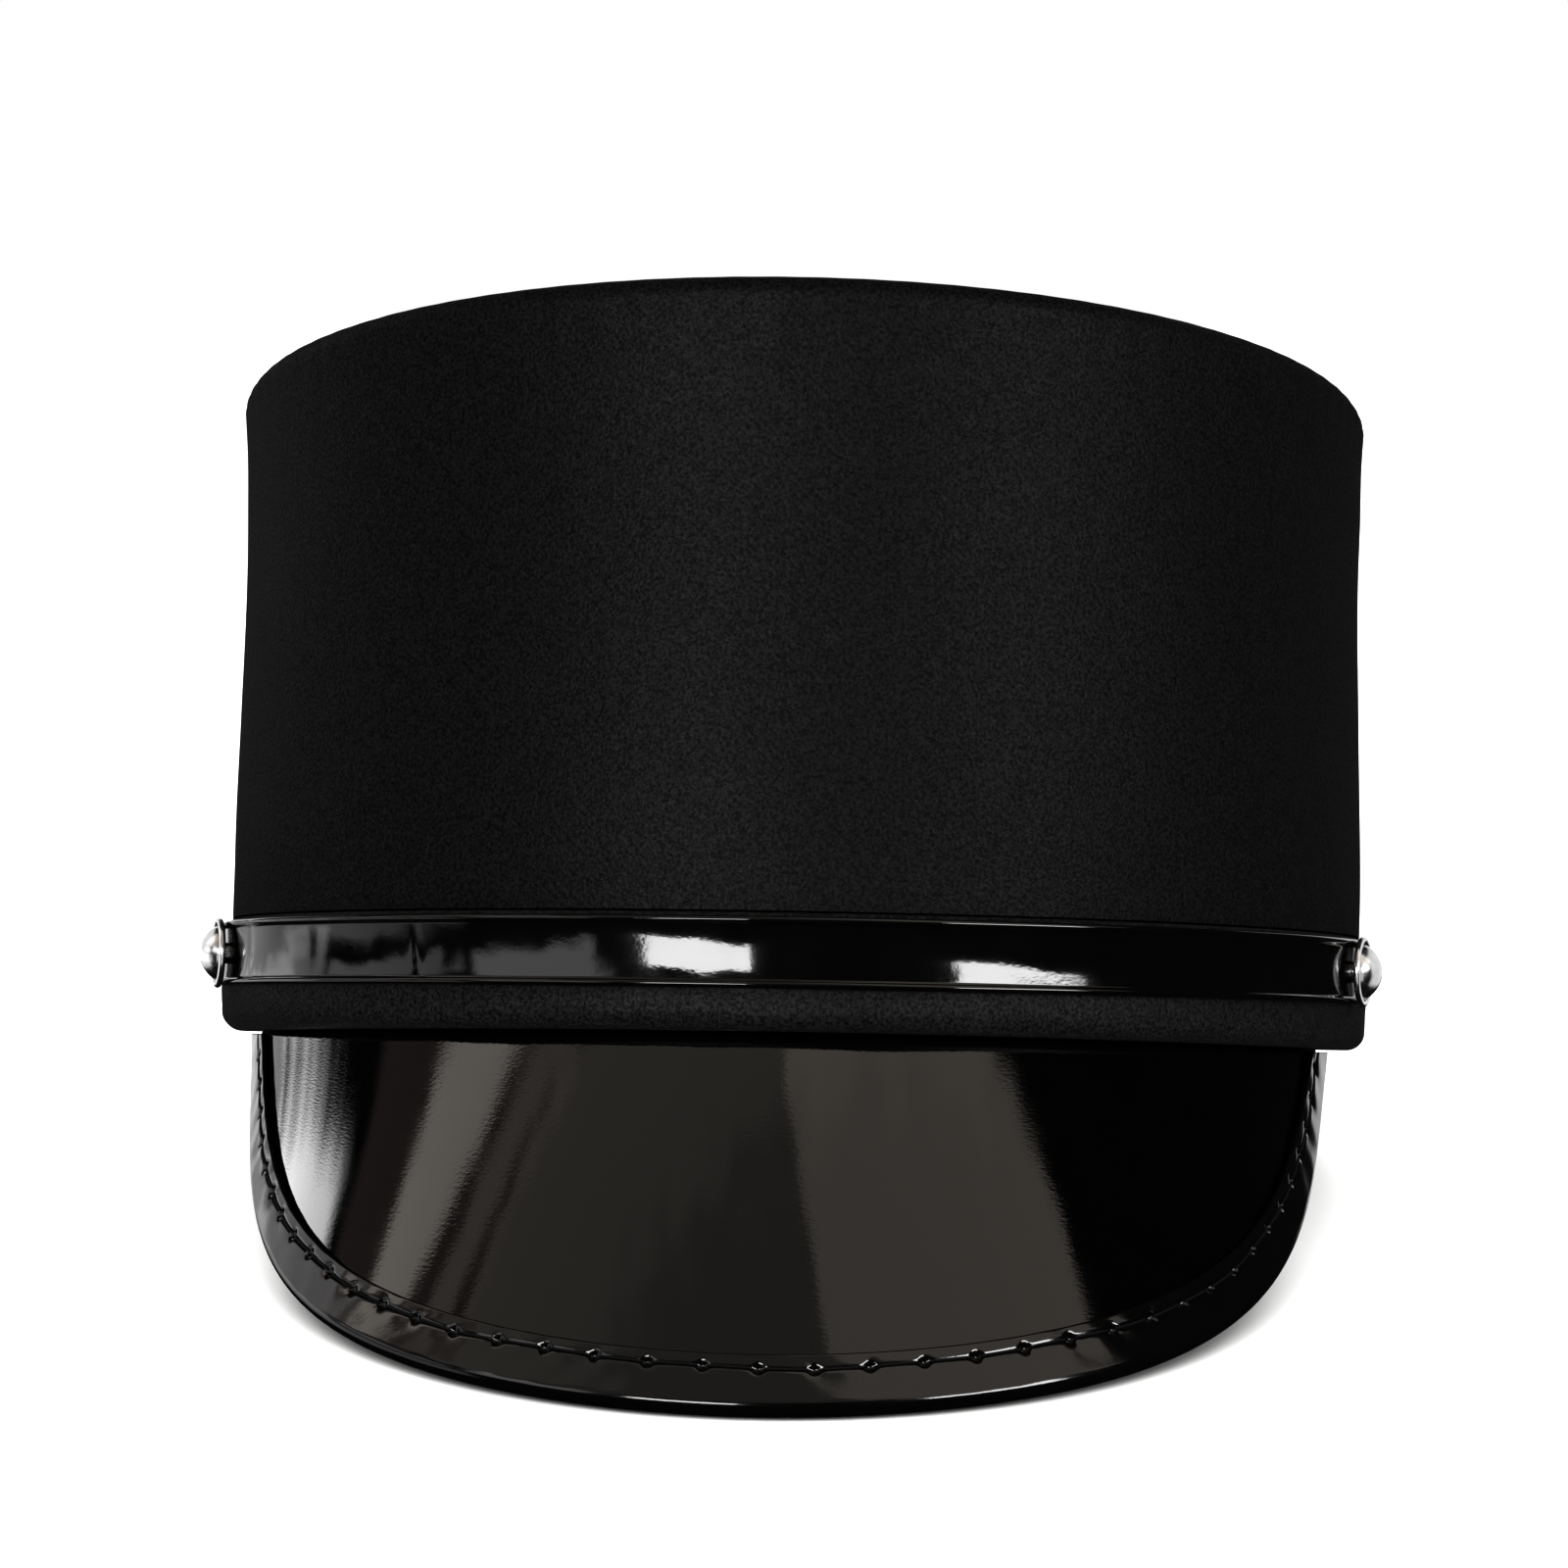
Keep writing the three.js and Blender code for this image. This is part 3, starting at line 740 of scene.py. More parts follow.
def make_crown_top():
    """Top panel as a disc over the oval: rings that shrink to a pole above and below. It domes by the
    cosine of its reach, dips into the seam at its edge and puckers with the side panel."""
    crown = cap().crown
    angle = ring_angles()
    reach = 1 - np.linspace(1, 0, PANEL_ROWS)[None, :] ** 1.4
    rim = oval(angle[:, None], crown_seam() - cap().head.gap, 0.0)
    upper = rim * reach[..., None]
    from_edge = (1 - reach) * cap().head.half_width
    rise = crown.dome * ease((1 - reach) / 0.4)
    dent = crown.swell * waves(upper, "crown_top") * ease(from_edge / crown.taut_edge)
    dip = crown.seam_depth * hump(from_edge, crown.dip_width)
    upper[..., 2] = top_plane(upper[..., 1]) + rise + dent - dip + seam_pucker(angle, from_edge)
    lower = rim * np.linspace(1, 0, 6)[None, :, None]
    lower[..., 2] = top_plane(lower[..., 1]) - crown.wall
    section = np.concatenate([upper, lower], axis=1)
    piece = skin("crown_top_cloth", section, section[..., :2])
    return dress(piece, brushed_twill("black_top_twill", crown.cloth), "crown_cloth", "crown_top")


# Headband and strap


def make_headband():
    """Padded ring as one closed section carried round the oval: a box with quarter circles at its corners.
    Its face swells by a sine of the height, below the strap that holds it down and over its whole height
    behind."""
    band, strap = cap().band, cap().strap
    angle = ring_angles()
    around = angle[:, None]
    lift = band_lift(around)
    low, high = band.bottom_round, band.height - band.top_round
    front_low = quarter(band.thickness - low, low, low, -90)
    front_high = quarter(band.thickness - band.top_round, high, band.top_round, 0)
    back_high = quarter(band.top_round, high, band.top_round, 90)
    back_low = quarter(band.inside_round, band.inside_round, band.inside_round, 180)
    face = np.linspace(low, high, PANEL_ROWS)[1:-1]
    parts = [front_low, (np.full_like(face, band.thickness), face), front_high, back_high, back_low]
    offset = np.concatenate([part[0] for part in parts])[None, :]
    height = np.concatenate([part[1] for part in parts])[None, :]
    strap_turn = cap().button.place + strap.tail / cap().head.half_width
    beyond = ease((np.abs(around) - strap_turn) * cap().head.half_width / band.puff_start)
    on_face = offset > band.thickness * 0.5
    below = np.sin(np.pi * np.clip(height / strap.above_edge, 0, 1))
    whole = np.sin(np.pi * np.clip(height / band.height, 0, 1))
    swell = band.puff * (below * (1 - beyond) + whole * beyond)
    points = oval(around, offset, height + lift * (1 - height / band.height))
    soft = 1 + waves(points, "headband")
    ridge = back_seam(angle)[:, None]
    points += oval_out(around, band.thickness) * (on_face * (swell * soft + ridge))[..., None]
    section = np.concatenate([points, points[:, :1]], axis=1)
    piece = skin("headband_cloth", section, section_uv(section))
    dress(piece, brushed_twill("black_padded_twill", band.cloth), "band_cloth", "headband")
    return piece


def strap_half_share(angle, end):
    """Share of the strap's half width at an angle: 1 along the strap, then the circle of its rounded
    end."""
    strap, head = cap().strap, cap().head
    speed = np.hypot(head.half_width * np.cos(angle), head.half_length * np.sin(angle))
    reach = np.clip(2 * (end - np.abs(angle)) * speed / strap.width, 0, 1)
    return np.maximum(strap.end_width / strap.width, np.sqrt(1 - (1 - reach) ** 2))


# Pinches across the strap where it was bent: turn in degrees, depth and half width in millimetres
STRAP_PINCHES = (
    (-61.0, 0.08, 1.2), (-47.0, 0.06, 1.6), (-33.2, 0.16, 0.7), (-29.0, 0.05, 1.8), (-3.0, 0.04, 1.4),
    (31.0, 0.04, 1.5), (52.0, 0.06, 1.3))


def strap_pinch(angle, along, across):
    """Depth of the pinches: a bell of the length from each one. Each leans across the strap by a length of
    its own, the sine of its place taken as radians."""
    degrees, depth, width = np.array(STRAP_PINCHES).T
    at = np.interp(np.radians(degrees), angle, along[:, 0])
    lean = 0.6 * MM * np.sin(degrees)
    away = along[:, :, None] - at - lean * across[None, :, None]
    return (depth * MM * hump(away, width * MM)).sum(axis=-1)


def make_strap():
    """Strap as one closed section carried round the front: a flat back, and a face that hollows by a square
    between two half-round beads. Slow waves along it, deeper on the wearer's right, and fine long ones bend
    the reflections."""
    strap, head = cap().strap, cap().head
    place = cap().button.place
    speed = math.hypot(head.half_width * math.cos(place), head.half_length * math.sin(place))
    end = place + strap.tail / speed
    angle = end * ease_ends(np.linspace(-1, 1, STRAP_STEPS), 0.04)
    bead_share = 2 * strap.bead / (strap.width / 2)
    lower = np.linspace(-1, -1 + bead_share, 12)
    across = np.concatenate([lower[:-1], np.linspace(-1 + bead_share, 1 - bead_share, 30), -lower[-2::-1]])
    from_edge = (1 - np.abs(across)) * strap.width / 2
    bead = np.sqrt(np.clip(1 - ((from_edge - strap.bead) / strap.bead) ** 2, 0, 1))
    top = strap.thickness - strap.bead
    face = top + 0.5 * strap.bead - strap.dish * (1 - across ** 2)
    on_bead = top * np.minimum(1, 0.5 + bead) + strap.bead * bead
    stand = np.where(from_edge < strap.bead, on_bead, np.maximum(face, on_bead * (bead > 0)))
    half = (strap.width / 2 * strap_half_share(angle, end))[:, None]
    height = strap_middle() + half * across[None, :]
    front = oval(angle[:, None], strap_seat() + stand[None, :], height)
    along = (angle * head.half_width)[:, None]
    lying = np.stack(np.broadcast_arrays(along / 7, height, 0.0), axis=-1)
    slack = 1 + strap.slack * ease((-along - strap.slack_from) / strap.slack_within)
    wave = slack * waves(front, "strap") + waves(lying, "strap_long") + waves(front, "strap_short")
    pinch = strap_pinch(angle, along, across) * (1 - 0.6 * across ** 2)
    front += oval_out(angle[:, None], strap_seat()) * (strap.wave * wave - pinch)[..., None]
    back = oval(angle[:, None], strap_seat(), strap_middle() + half * np.linspace(1, -1, 5)[None, :])
    section = capped(np.concatenate([front, back, front[:, :1]], axis=1))
    piece = skin("strap_patent", section, section_uv(section), crease_degrees=60)
    film = patent_film("strap_patent_film", strap.film, 0.05, 0.7, 0.006)
    return dress(piece, film, "patent_strap", "strap")


def make_button(name, side):
    """Button turned about its own axis: a short shank, a flat back, a rolled rim, a groove and a low cone
    with a rounded tip, all as one profile of radius and height."""
    button = cap().button
    radius = button.diameter / 2
    rim_angle = np.radians(np.linspace(-90, 150, 15))
    rim_radius = radius - button.rim + button.rim * np.cos(rim_angle)
    rim_height = button.rim * (1 + np.sin(rim_angle))
    share = np.linspace(0, 1, 26)
    foot = 0.9 * button.rim
    cone_radius = (radius - 2.3 * button.rim) * (1 - share)
    belly = np.sqrt(1 - (1 - share) ** 2)
    cone_height = foot + (button.height - foot) * (0.55 * belly + 0.45 * share * (2 - share))
    groove = np.array([[radius - 2.15 * button.rim], [0.5 * button.rim]])
    shank = np.array([[0, button.shank_radius, button.shank_radius], [-button.shank, -button.shank, 0]])
    profile = np.concatenate([shank, [rim_radius, rim_height], groove, [cone_radius, cone_height]], axis=1)
    around = np.linspace(0, 2 * np.pi, BUTTON_STEPS + 1)[:, None]
    out = oval_out(side * button.place, button_seat())
    level = np.array([-out[1], out[0], 0.0])
    centre = oval(side * button.place, button_seat(), strap_middle())
    points = (centre + (profile[0] * np.cos(around))[..., None] * level
              + (profile[0] * np.sin(around))[..., None] * np.array([0.0, 0.0, 1.0])
              + profile[1][:, None] * out)
    return skin(f"{name}_metal", points, section_uv(points), crease_degrees=45)


def make_buttons():
    """Both buttons, each on its own side."""
    metal = nickel_plate("bright_nickel", cap().button.metal)
    for name, side in (("button_left", 1), ("button_right", -1)):
        dress(make_button(name, side), metal, "button_metal", name)


# Visor, binding and stitches


def visor_point(angle, down):
    """Middle surface of the visor: from the crease straight down a slope that steepens with the square of
    the turn. The crease comes out under the headband by the tuck, which fades with that square and down the
    slope. The sheet bows out by a parabola between crease and rim."""
    visor = cap().visor
    turned = (angle / visor.spread) ** 2
    slope = visor.slope + visor.steeper * turned
    crease = band_lift(angle) - visor.crease_drop
    out = visor.tuck * np.clip(1 - turned, 0, 1) * (1 - down / visor.length)
    level = oval_out(angle, visor_middle())
    start = oval(angle, visor_middle(), crease) + level * np.asarray(out)[..., None]
    reach = visor_reach(angle)
    share = np.clip(down / np.maximum(reach, SMALL_STEP), 0, 1)
    rise = visor.bow * (reach / visor.length) ** 2 * 4 * share * (1 - share)
    ahead = down * np.cos(slope) + rise * np.sin(slope)
    fall = down * np.sin(slope) - rise * np.cos(slope)
    drop = np.stack(np.broadcast_arrays(0.0, 0.0, fall), axis=-1)
    return start + level * np.asarray(ahead)[..., None] - drop


def visor_reach(angle):
    """How far down the slope the rim lies: full length less a power of the turn's share."""
    share = np.clip(np.abs(angle) / cap().visor.spread, 0, 1)
    return cap().visor.length * (1 - share ** cap().visor.fullness)


def visor_frame(angle, down):
    """Length passed for each radian, and the unit direction out of the surface, from small steps on it."""
    along = visor_point(angle + SMALL_TURN, down) - visor_point(angle - SMALL_TURN, down)
    fall = visor_point(angle, down + SMALL_STEP) - visor_point(angle, down)
    return np.linalg.norm(along, axis=-1) / (2 * SMALL_TURN), unit(np.cross(fall, along))


def rim_slope(angle):
    """Change of reach for each length along the rim."""
    change = (visor_reach(angle + SMALL_TURN) - visor_reach(angle - SMALL_TURN)) / (2 * SMALL_TURN)
    return change / visor_frame(angle, visor_reach(angle))[0]


def inside_rim(angle, distance, lift):
    """Point that lies inside the rim by a distance square to it, then lifted off the surface."""
    slope = rim_slope(angle)
    length_ratio = np.hypot(1, slope)
    speed = visor_frame(angle, visor_reach(angle))[0]
    turned = angle + distance * slope / length_ratio / speed
    down = visor_reach(angle) - distance / length_ratio
    return visor_point(turned, down) + visor_frame(turned, down)[1] * np.asarray(lift)[..., None]


def make_visor():
    """Visor sheet as one closed section carried from end to end: up the flange, over the crease, down the
    outer face to the edge inside the binding, and back under. Slow waves in the sheet bend the
    reflections."""
    visor, binding = cap().visor, cap().binding
    inset = binding.wall + cap().head.gap
    trial = np.linspace(0, visor.spread, 4000)
    edge_at = visor_reach(trial) - inset * np.hypot(1, rim_slope(trial))
    last = trial[edge_at > visor.least_reach].max()
    angle = np.linspace(-last, last, VISOR_STEPS)[:, None]
    edge = visor_reach(angle) - inset * np.hypot(1, rim_slope(angle))
    half = visor.thickness / 2
    lift = band_lift(angle)

    def face(side, rows):
        down = edge * np.linspace(0, 1, rows)[None, 1:]
        surface = visor_point(angle, down)
        wave = visor.wave * waves(surface, "visor")
        surface += visor_frame(angle, down)[1] * (side * half + wave)[..., None]
        crease = oval(angle, visor_middle() + side * half, lift - 0.5 * visor.crease_drop * (1 - side))
        top = oval(angle, visor_middle() + side * half, lift + visor.flange)
        return np.concatenate([top, crease, surface], axis=1)

    outer = face(1, VISOR_ROWS)
    inner = face(-1, VISOR_ROWS // 3)
    section = capped(np.concatenate([outer, inner[:, ::-1], outer[:, :1]], axis=1))
    piece = skin("visor_patent", section, section_uv(section), crease_degrees=40)
    film = patent_film("visor_patent_film", visor.film, 0.03, 0.5, 0.006)
    return dress(piece, film, "visor_patent", "visor")


def stitch_line():
    """Depth of the stitch line inside the rim, its angles and the length passed along it."""
    binding = cap().binding
    depth = binding.width - binding.lip
    angle = np.linspace(-cap().visor.spread, cap().visor.spread, BINDING_STEPS)
    return depth, angle, travel(inside_rim(angle, depth, 0.0))


def hole_distance(passed):
    """Length along the line to the nearest stitch hole."""
    stitch = cap().binding.stitch
    return np.abs((passed + stitch / 2) % stitch - stitch / 2)


def stitch_wander(passed):
    """How far the stitch line strays from its depth: two slow sines of the length passed."""
    return 0.16 * MM * np.sin(passed / (9 * MM)) + 0.1 * MM * np.sin(passed / (3.7 * MM) + 1)


def make_binding():
    """Binding as one closed section carried along the rim: a strip folded over it in a half circle, with
    rounded edges. Each stitch pulls a pit into its outer face, the thread presses a groove from pit to pit,
    and the strip rucks up between the pits."""
    binding = cap().binding
    depth, angle, passed = stitch_line()
    outer_lift = binding_top()
    inner_lift = outer_lift - binding.wall
    edge = 0.4 * binding.wall
    flat = np.concatenate([
        np.linspace(binding.width - edge, depth, 16), np.linspace(depth, outer_lift, 34)[1:]])
    edge_turn = np.linspace(0, np.pi / 2, 6)[:-1]
    fold_turn = np.linspace(np.pi / 2, -np.pi / 2, 22)[1:-1]
    under = np.linspace(outer_lift, binding.width, BINDING_FLAT_ROWS)
    back = np.linspace(binding.width, binding.wall, BINDING_FLAT_ROWS)
    distance = np.concatenate([
        [binding.width], binding.width - edge + edge * np.cos(edge_turn), flat,
        outer_lift - outer_lift * np.cos(fold_turn), under,
        back, np.full(3, binding.wall), back[::-1], [binding.width]])
    lift = np.concatenate([
        [inner_lift], outer_lift - edge + edge * np.sin(edge_turn), np.full(len(flat), outer_lift),
        outer_lift * np.sin(fold_turn), np.full(len(under), -outer_lift),
        np.full(len(back), -inner_lift), inner_lift * np.array([-0.4, 0.0, 0.4]),
        np.full(len(back), inner_lift), [inner_lift]])
    on_face = np.zeros(len(distance))
    on_face[2:len(edge_turn) + len(flat) + 1] = 1
    to_hole = hole_distance(passed)[:, None]
    off_line = distance - depth - stitch_wander(passed)[:, None]
    pit = binding.hole_depth * hump(np.hypot(to_hole, off_line), binding.hole)
    groove = binding.groove * hump(off_line, 0.5 * binding.hole)
    swing = np.cos(2 * np.pi * to_hole / binding.stitch)
    ruck = binding.ruck * (waves(inside_rim(angle[:, None], distance, 0.0), "binding")
                           - swing * hump(off_line, binding.ruck_width))
    pressed = (pit + groove - ruck) * on_face
    section = inside_rim(angle[:, None], distance, lift - pressed)
    piece = skin("binding_patent", section, section_uv(section), crease_degrees=70)
    cut_under_band(piece)
    film = patent_film("binding_patent_film", binding.film, 0.09, 0.8, 0.008)
    return dress(piece, film, "binding_patent", "visor_binding")


def cut_under_band(piece):
    """Cuts a piece off level with the space under the headband and closes the cut."""
    spin, place = rest_place()
    cut = bmesh.new()
    cut.from_mesh(piece.data)
    bmesh.ops.bisect_plane(
        cut, geom=[*cut.verts, *cut.edges, *cut.faces], dist=MERGE_DISTANCE,
        plane_co=place - cap().head.gap * spin[:, 2], plane_no=spin[:, 2], clear_outer=True)
    open_edges = [edge for edge in cut.edges if edge.is_boundary]
    bmesh.ops.holes_fill(cut, edges=open_edges, sides=0)
    bmesh.ops.recalc_face_normals(cut, faces=cut.faces)
    cut.to_mesh(piece.data)
    cut.free()


def make_stitches():
    """Stitches as one mesh of capsules, one from hole to hole along the groove. Each lies on the strip in
    its middle and dips into the pits at its ends: height falls with the eighth power of the distance from
    its middle."""
    binding = cap().binding
    depth, angle, passed = stitch_line()
    holes = np.arange(binding.stitch, passed[-1], binding.stitch)
    start, end = holes[:-1], holes[1:]
    share = np.linspace(0, 1, THREAD_STEPS)
    radius = binding.thread / 2
    clear = 0.7 * binding.hole
    at = start[:, None] + clear + (end - start - 2 * clear)[:, None] * share[None, :]
    turns = np.interp(at, passed, angle)
    away = np.abs(2 * share - 1)
    lift = binding_top() - binding.groove + 0.6 * radius - 0.8 * binding.hole_depth * away ** 8
    inside = depth + stitch_wander(at)
    centre = inside_rim(turns, inside, lift)
    along = unit(centre - inside_rim(turns - SMALL_TURN, inside, lift))
    out = unit(inside_rim(turns, inside, lift + SMALL_STEP) - centre)
    across = np.cross(along, out)
    around = np.linspace(0, 2 * np.pi, THREAD_SIDES + 1)
    thin = radius * np.sqrt(np.clip(1 - away ** 12, 0, 1))
    ring = np.cos(around)[:, None] * across[:, :, None, :] + np.sin(around)[:, None] * out[:, :, None, :]
    points = centre[:, :, None, :] + thin[:, None, None] * ring
    kept = points[..., 2].max(axis=(1, 2)) < -cap().head.gap
    uv = np.stack(np.broadcast_arrays((share * binding.stitch)[:, None], around * radius), axis=-1)
    piece = skin("visor_stitches", points[kept], uv)
    return dress(piece, twisted_thread("black_thread", binding.yarn), "binding_patent")


# Stage


def stood(place, axes):
    """Matrix of a thing that stands at a place with its own three axes turned as given."""
    return Matrix.Translation(place) @ Matrix(axes.T.tolist()).to_4x4()


def make_camera():
    """Camera at the photograph's angle to the cap. Its place and axes are those beside the upright cap,
    turned and shifted with it to where it rests."""
    distance = cap().studio.distance
    aim = CAMERA_SIDE + CAMERA_PAN
    stand = np.array([distance * math.sin(CAMERA_SIDE), -distance * math.cos(CAMERA_SIDE), 0.0])
    ahead = math.cos(CAMERA_PITCH)
    forward = np.array([-math.sin(aim) * ahead, math.cos(aim) * ahead, math.sin(CAMERA_PITCH)])
    right = unit(np.cross(forward, (0, 0, 1)))
    up = np.cross(right, forward)
    rolled_right = math.cos(CAMERA_ROLL) * right + math.sin(CAMERA_ROLL) * up
    rolled_up = math.cos(CAMERA_ROLL) * up - math.sin(CAMERA_ROLL) * right
    spin = rest_place()[0]
    axes = np.array([rolled_right, rolled_up, -forward]) @ spin.T
    camera = place_object("camera", bpy.data.cameras.new("camera"))
    camera.data.sensor_width = SENSOR_WIDTH
    camera.data.lens = FOCAL_PIXELS / FRAME_PIXELS * SENSOR_WIDTH
    camera.data.clip_start = NEAREST_SEEN
    camera.matrix_world = stood(rested(stand), axes)
    bpy.context.scene.camera = camera


def card(x_from, x_to, y_from, y_to, low, high):
    """Corners of an upright panel that stands between two places on the floor."""
    start, end = (x_from, y_from), (x_to, y_to)
    return (*start, low), (*end, low), (*end, high), (*start, high)


def side_card(x, *places):
    """Corners of an upright panel beside the cap, from their depths and heights."""
    return tuple((x, *place) for place in places)


def roof_card(height, *places):
    """Corners of a level panel over the cap."""
    return tuple((*place, height) for place in places)


# Crumpled edges of the light panels: crumples in a metre, and their depth as a share of the soft edge
CRUMPLES_PER_METRE = 9.0
RAGGEDNESS = 1.6

# Light panels: name, pieces reached, brightness beside white paper, colour, width of the soft edge or of
# each edge, and corners in metres. Each has a plane of its own, because of two lamps in one plane the
# renderer sees only the first.
PANELS = (
    ("front_left", "patent", 20.0, "#ffffff", 0.01, card(-0.66, -0.13, -1.17, -1.34, 0.255, 0.53)),
    ("front_left_cloth", "cloth", 29.0, "#ffffff", 0.01, card(-0.66, -0.13, -1.18, -1.35, 0.255, 0.53)),
    ("front_right", "patent", 20.0, "#ffffff", 0.01, card(0.785, 1.225, -1.10, -0.52, 0.333, 0.63)),
    ("front_right_cloth", "cloth", 16.0, "#ffffff", 0.01, card(0.795, 1.235, -1.11, -0.53, 0.333, 0.63)),
    ("side_left", "patent", 2.2, "#ffffff", 0.08, card(-1.16, -0.735, -0.47, -1.01, 0.16, 0.62)),
    ("far_left", "patent", 1.2, "#ffffff", 0.06, card(-1.23, -1.23, -0.45, 0.3, 0.08, 0.34)),
    ("low_left", "patent", 0.9, "#ffffff", 0.1, card(-0.9, -0.9, -0.48, 1.3, -0.35, 0.06)),
    ("behind_left", "visor", 5.5, "#ffffff", (0.05, 0.06, 0.07),
     side_card(-1.22, (0.52, -0.18), (1.62, -0.18), (0.52, 0.49))),
    ("behind_left_trim", "trim", 1.1, "#ffffff", 0.1,
     side_card(-1.23, (0.3, -0.16), (1.55, -0.16), (0.3, 0.8))),
    ("streak", "patent", 2.3, "#fff8f0", 0.03,
     side_card(-1.21, (0.05, 1.9), (0.05, 1.0), (0.135, 0.42), (0.30, 0.42), (0.225, 1.9))),
    ("left_strip", "patent", 0.75, "#fff5e9", 0.03, card(-1.2, -1.2, -0.085, 0.035, 0.6, 1.9)),
    ("left_base", "patent", 0.25, "#ffe4dc", 0.05, card(-1.25, -1.25, -0.16, 0.52, 0.3, 2.0)),
    ("cloth_left", "cloth", 0.35, "#ffffff", 0.1, card(-1.27, -1.27, 0.2, 1.6, -0.1, 1.3)),
    ("ceiling", "patent", 0.5, "#fff5e9", 0.03,
     roof_card(1.2, (-2.8, -0.2), (-0.849, -0.065), (0.0, -0.05), (0.9, -0.045), (2.2, -0.05),
               (2.2, -1.8), (-2.8, -1.8))),
    ("ceiling_back", "patent", 0.3, "#fff5e9", (0.03, 0.03, 0.03, 0.25, 0.03),
     roof_card(1.24, (-2.8, -0.2), (-0.849, -0.065), (0.9, -0.045), (1.2, -0.054), (-2.8, -1.41))),
    ("ceiling_right", "patent", 0.92, "#fff5e9", 0.03,
     roof_card(1.22, (0.005, -0.06), (0.005, -0.31), (0.163, -0.548), (0.88, -1.6), (2.2, -1.6),
               (2.2, -0.05))),
    ("floor_wash", "paper", 1.4, "#ffffff", 0.1,
     roof_card(1.5, (-1.6, -1.6), (1.6, -1.6), (1.6, 1.6), (-1.6, 1.6))),
    ("backdrop", "patent", 1.2, "#ffffff", 0.1, card(-1.4, 1.4, 1.9, 1.9, -0.5, 1.2)),
    ("beside_left_button", "metal", 1.4, "#ffffff", 0.2, card(-1.3, -1.3, -0.4, 1.9, -0.9, 1.3)),
    ("beside_right_button", "metal", 1.4, "#ffffff", 0.2, card(1.3, 1.3, -0.4, 1.9, -0.9, 1.3)),
    ("before_buttons", "metal", 1.0, "#ffffff", 0.2, card(-1.5, 1.5, -1.6, -1.6, -0.9, 1.0)),
)


def add_panel(name, reaches, brightness, tint, softness, corners):
    """Flat light panel with any convex outline, which faces the cap. The lamp is a rectangle round the
    corners, and its light is multiplied, for each edge, by an ease from 0 at the edge to 1 at the softness
    inside it. A slow noise shifts that ease, so that the edge looks like crumpled card."""
    points = np.array(corners)
    middle = points.mean(axis=0)
    across = unit(points[1] - points[0])
    away = unit(np.cross(across, points[2] - points[1]))
    away *= np.sign(away @ middle)
    axes = np.array([across, np.cross(away, across), away])
    flat = points @ axes.T
    low, high = flat.min(axis=0), flat.max(axis=0)
    lamp = bpy.data.lights.new(name, "AREA")
    lamp.shape = "RECTANGLE"
    lamp.size, lamp.size_y = (high - low)[:2]
    lamp.energy = brightness * math.pi * lamp.size * lamp.size_y
    lamp.color = linear(tint)[:3]
    tree = empty_tree(lamp)
    place = add_node(tree, "ShaderNodeNewGeometry").outputs["Position"]
    crumple = add_node(tree, "ShaderNodeTexNoise", {
        "Vector": place, "Scale": CRUMPLES_PER_METRE, "Detail": 4.0}).outputs["Fac"]
    shine = 1.0
    ends = np.roll(points, -1, axis=0)
    for start, end, soft in zip(points, ends, np.broadcast_to(softness, len(points))):
        inward = unit(np.cross(away, end - start))
        inward *= np.sign(inward @ (middle - start))
        depth = add_node(tree, "ShaderNodeVectorMath", {
            0: place, 1: inward}, operation="DOT_PRODUCT").outputs["Value"]
        torn = add_node(tree, "ShaderNodeMath", {
            0: crumple, 1: RAGGEDNESS * soft, 2: depth}, operation="MULTIPLY_ADD").outputs[0]
        first = inward @ start + RAGGEDNESS / 2 * soft
        edge = add_node(tree, "ShaderNodeMapRange", {
            "Value": torn, "From Min": first, "From Max": first + soft,
        }, interpolation_type="SMOOTHSTEP").outputs["Result"]
        shine = add_node(tree, "ShaderNodeMath", {0: shine, 1: edge}, operation="MULTIPLY").outputs[0]
    light = add_node(tree, "ShaderNodeEmission", {"Strength": shine}).outputs[0]
    add_node(tree, "ShaderNodeOutputLight", {"Surface": light})
    made = place_object(name, lamp)
    made.matrix_world = stood((low + high) / 2 @ axes, axes)
    made.visible_camera = False
    made.light_linking.receiver_collection = lit_pieces(reaches)


def make_lights():
    """All the light panels."""
    for panel in PANELS:
        add_panel(*panel)


def make_room():
    """White room: white to the camera, soft on matt surfaces and brighter there from behind the cap, and
    dim in glossy ones, as black flags make it."""
    studio = cap().studio
    world = bpy.data.worlds.new("white_room")
    bpy.context.scene.world = world
    tree = empty_tree(world)
    ray = add_node(tree, "ShaderNodeLightPath")
    way = add_node(tree, "ShaderNodeTexCoord").outputs["Generated"]
    back = add_node(tree, "ShaderNodeSeparateXYZ", {"Vector": way}).outputs["Y"]
    fill = add_node(tree, "ShaderNodeMapRange", {
        "Value": back, "From Min": 0.65, "From Max": 0.9,
        "To Min": studio.fill, "To Max": studio.fill * studio.behind}).outputs["Result"]
    lit = add_node(tree, "ShaderNodeMix", {
        "Factor": ray.outputs["Is Glossy Ray"], "A": fill, "B": studio.room}).outputs[0]
    seen = add_node(tree, "ShaderNodeMix", {"Factor": ray.outputs["Is Camera Ray"], "A": lit, "B": 1.0})
    light = add_node(tree, "ShaderNodeBackground", {"Color": (1, 1, 1, 1), "Strength": seen.outputs[0]})
    add_node(tree, "ShaderNodeOutputWorld", {"Surface": light.outputs[0]})
    bpy.context.scene.view_settings.view_transform = "Standard"
    bpy.context.scene.view_settings.gamma = PRINT_CONTRAST


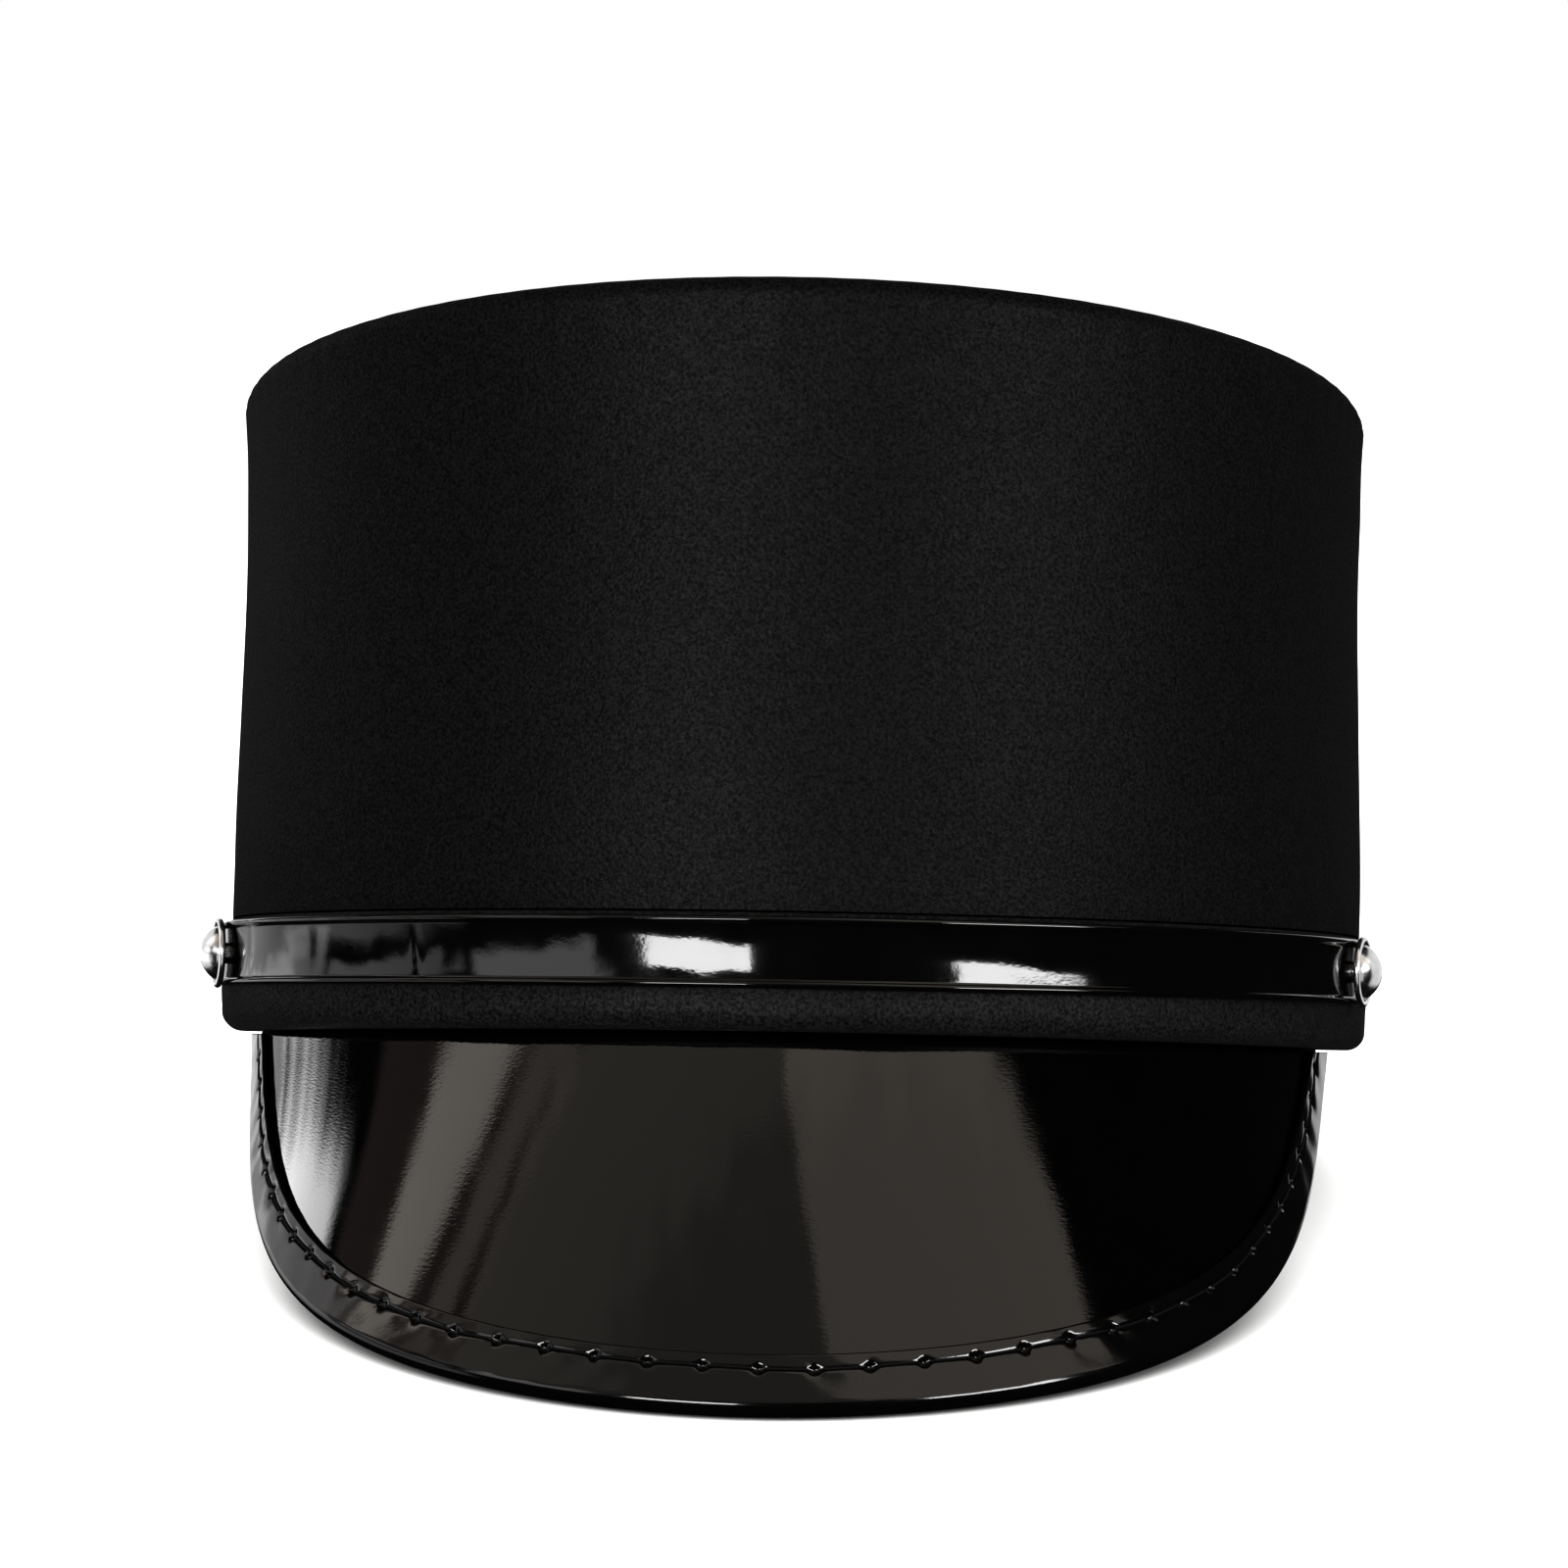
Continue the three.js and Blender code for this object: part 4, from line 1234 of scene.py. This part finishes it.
def make_floor():
    """Square of white paper under the cap."""
    half = cap().studio.floor_side / 2
    corners = [(-half, -half, 0), (half, -half, 0), (half, half, 0), (-half, half, 0)]
    mesh = bpy.data.meshes.new("paper_floor")
    mesh.from_pydata(corners, [], [(0, 1, 2, 3)])
    mesh.materials.append(seamless_paper("seamless_paper", cap().studio.floor))
    floor = place_object("paper_floor", mesh)
    floor.visible_glossy = False
    lit_pieces("paper").objects.link(floor)


# Operators and panel


class CapOperator:
    """Runs one maker."""

    bl_options = {"REGISTER", "UNDO"}
    makers = ()

    def execute(self, context):
        for make in self.makers:
            make()
        return {"FINISHED"}


class CAP_OT_stage(CapOperator, bpy.types.Operator):
    """Adds the camera, the lights, the room and the floor"""

    bl_idname = "cap.stage"
    bl_label = "Stage"
    makers = (make_camera, make_lights, make_room, make_floor)


class CAP_OT_crown(CapOperator, bpy.types.Operator):
    """Adds the crown's side panel and top panel"""

    bl_idname = "cap.crown"
    bl_label = "Crown"
    makers = (make_crown_side, make_crown_top)


class CAP_OT_headband(CapOperator, bpy.types.Operator):
    """Adds the padded headband"""

    bl_idname = "cap.headband"
    bl_label = "Headband"
    makers = (make_headband,)


class CAP_OT_strap(CapOperator, bpy.types.Operator):
    """Adds the patent strap"""

    bl_idname = "cap.strap"
    bl_label = "Strap"
    makers = (make_strap,)


class CAP_OT_buttons(CapOperator, bpy.types.Operator):
    """Adds both buttons"""

    bl_idname = "cap.buttons"
    bl_label = "Buttons"
    makers = (make_buttons,)


class CAP_OT_visor(CapOperator, bpy.types.Operator):
    """Adds the visor sheet"""

    bl_idname = "cap.visor"
    bl_label = "Visor"
    makers = (make_visor,)


class CAP_OT_binding(CapOperator, bpy.types.Operator):
    """Adds the binding round the visor's rim and its stitches"""

    bl_idname = "cap.binding"
    bl_label = "Binding and stitches"
    makers = (make_binding, make_stitches)


OPERATORS = (
    CAP_OT_stage, CAP_OT_crown, CAP_OT_headband, CAP_OT_strap, CAP_OT_buttons, CAP_OT_visor, CAP_OT_binding)


class CAP_PT_panel(bpy.types.Panel):
    """Lists the cap's pieces and their sizes"""

    bl_idname = "CAP_PT_panel"
    bl_label = "Conductor cap"
    bl_space_type = "VIEW_3D"
    bl_region_type = "UI"
    bl_category = "Cap"

    def draw(self, context):
        for operator in OPERATORS:
            self.layout.operator(operator.bl_idname)
        settings = context.scene.conductor_cap
        for group in settings.bl_rna.properties:
            if group.type == "POINTER" and group.identifier != "rna_type":
                box = self.layout.box()
                box.label(text=group.identifier.capitalize())
                sizes = getattr(settings, group.identifier)
                for size in sizes.bl_rna.properties:
                    if size.identifier not in ("rna_type", "name"):
                        box.prop(sizes, size.identifier)


GROUPS = (
    HeadSizes, CrownSizes, BandSizes, StrapSizes, ButtonSizes, VisorSizes, BindingSizes, StudioLook,
    CapSettings)


def register():
    for part in (*GROUPS, *OPERATORS, CAP_PT_panel):
        bpy.utils.register_class(part)
    bpy.types.Scene.conductor_cap = PointerProperty(type=CapSettings)


def unregister():
    del bpy.types.Scene.conductor_cap
    for part in reversed((*GROUPS, *OPERATORS, CAP_PT_panel)):
        bpy.utils.unregister_class(part)


def main():
    register()
    for operator in OPERATORS:
        group, name = operator.bl_idname.split(".")
        getattr(getattr(bpy.ops, group), name)()


if __name__ == "__main__":
    main()
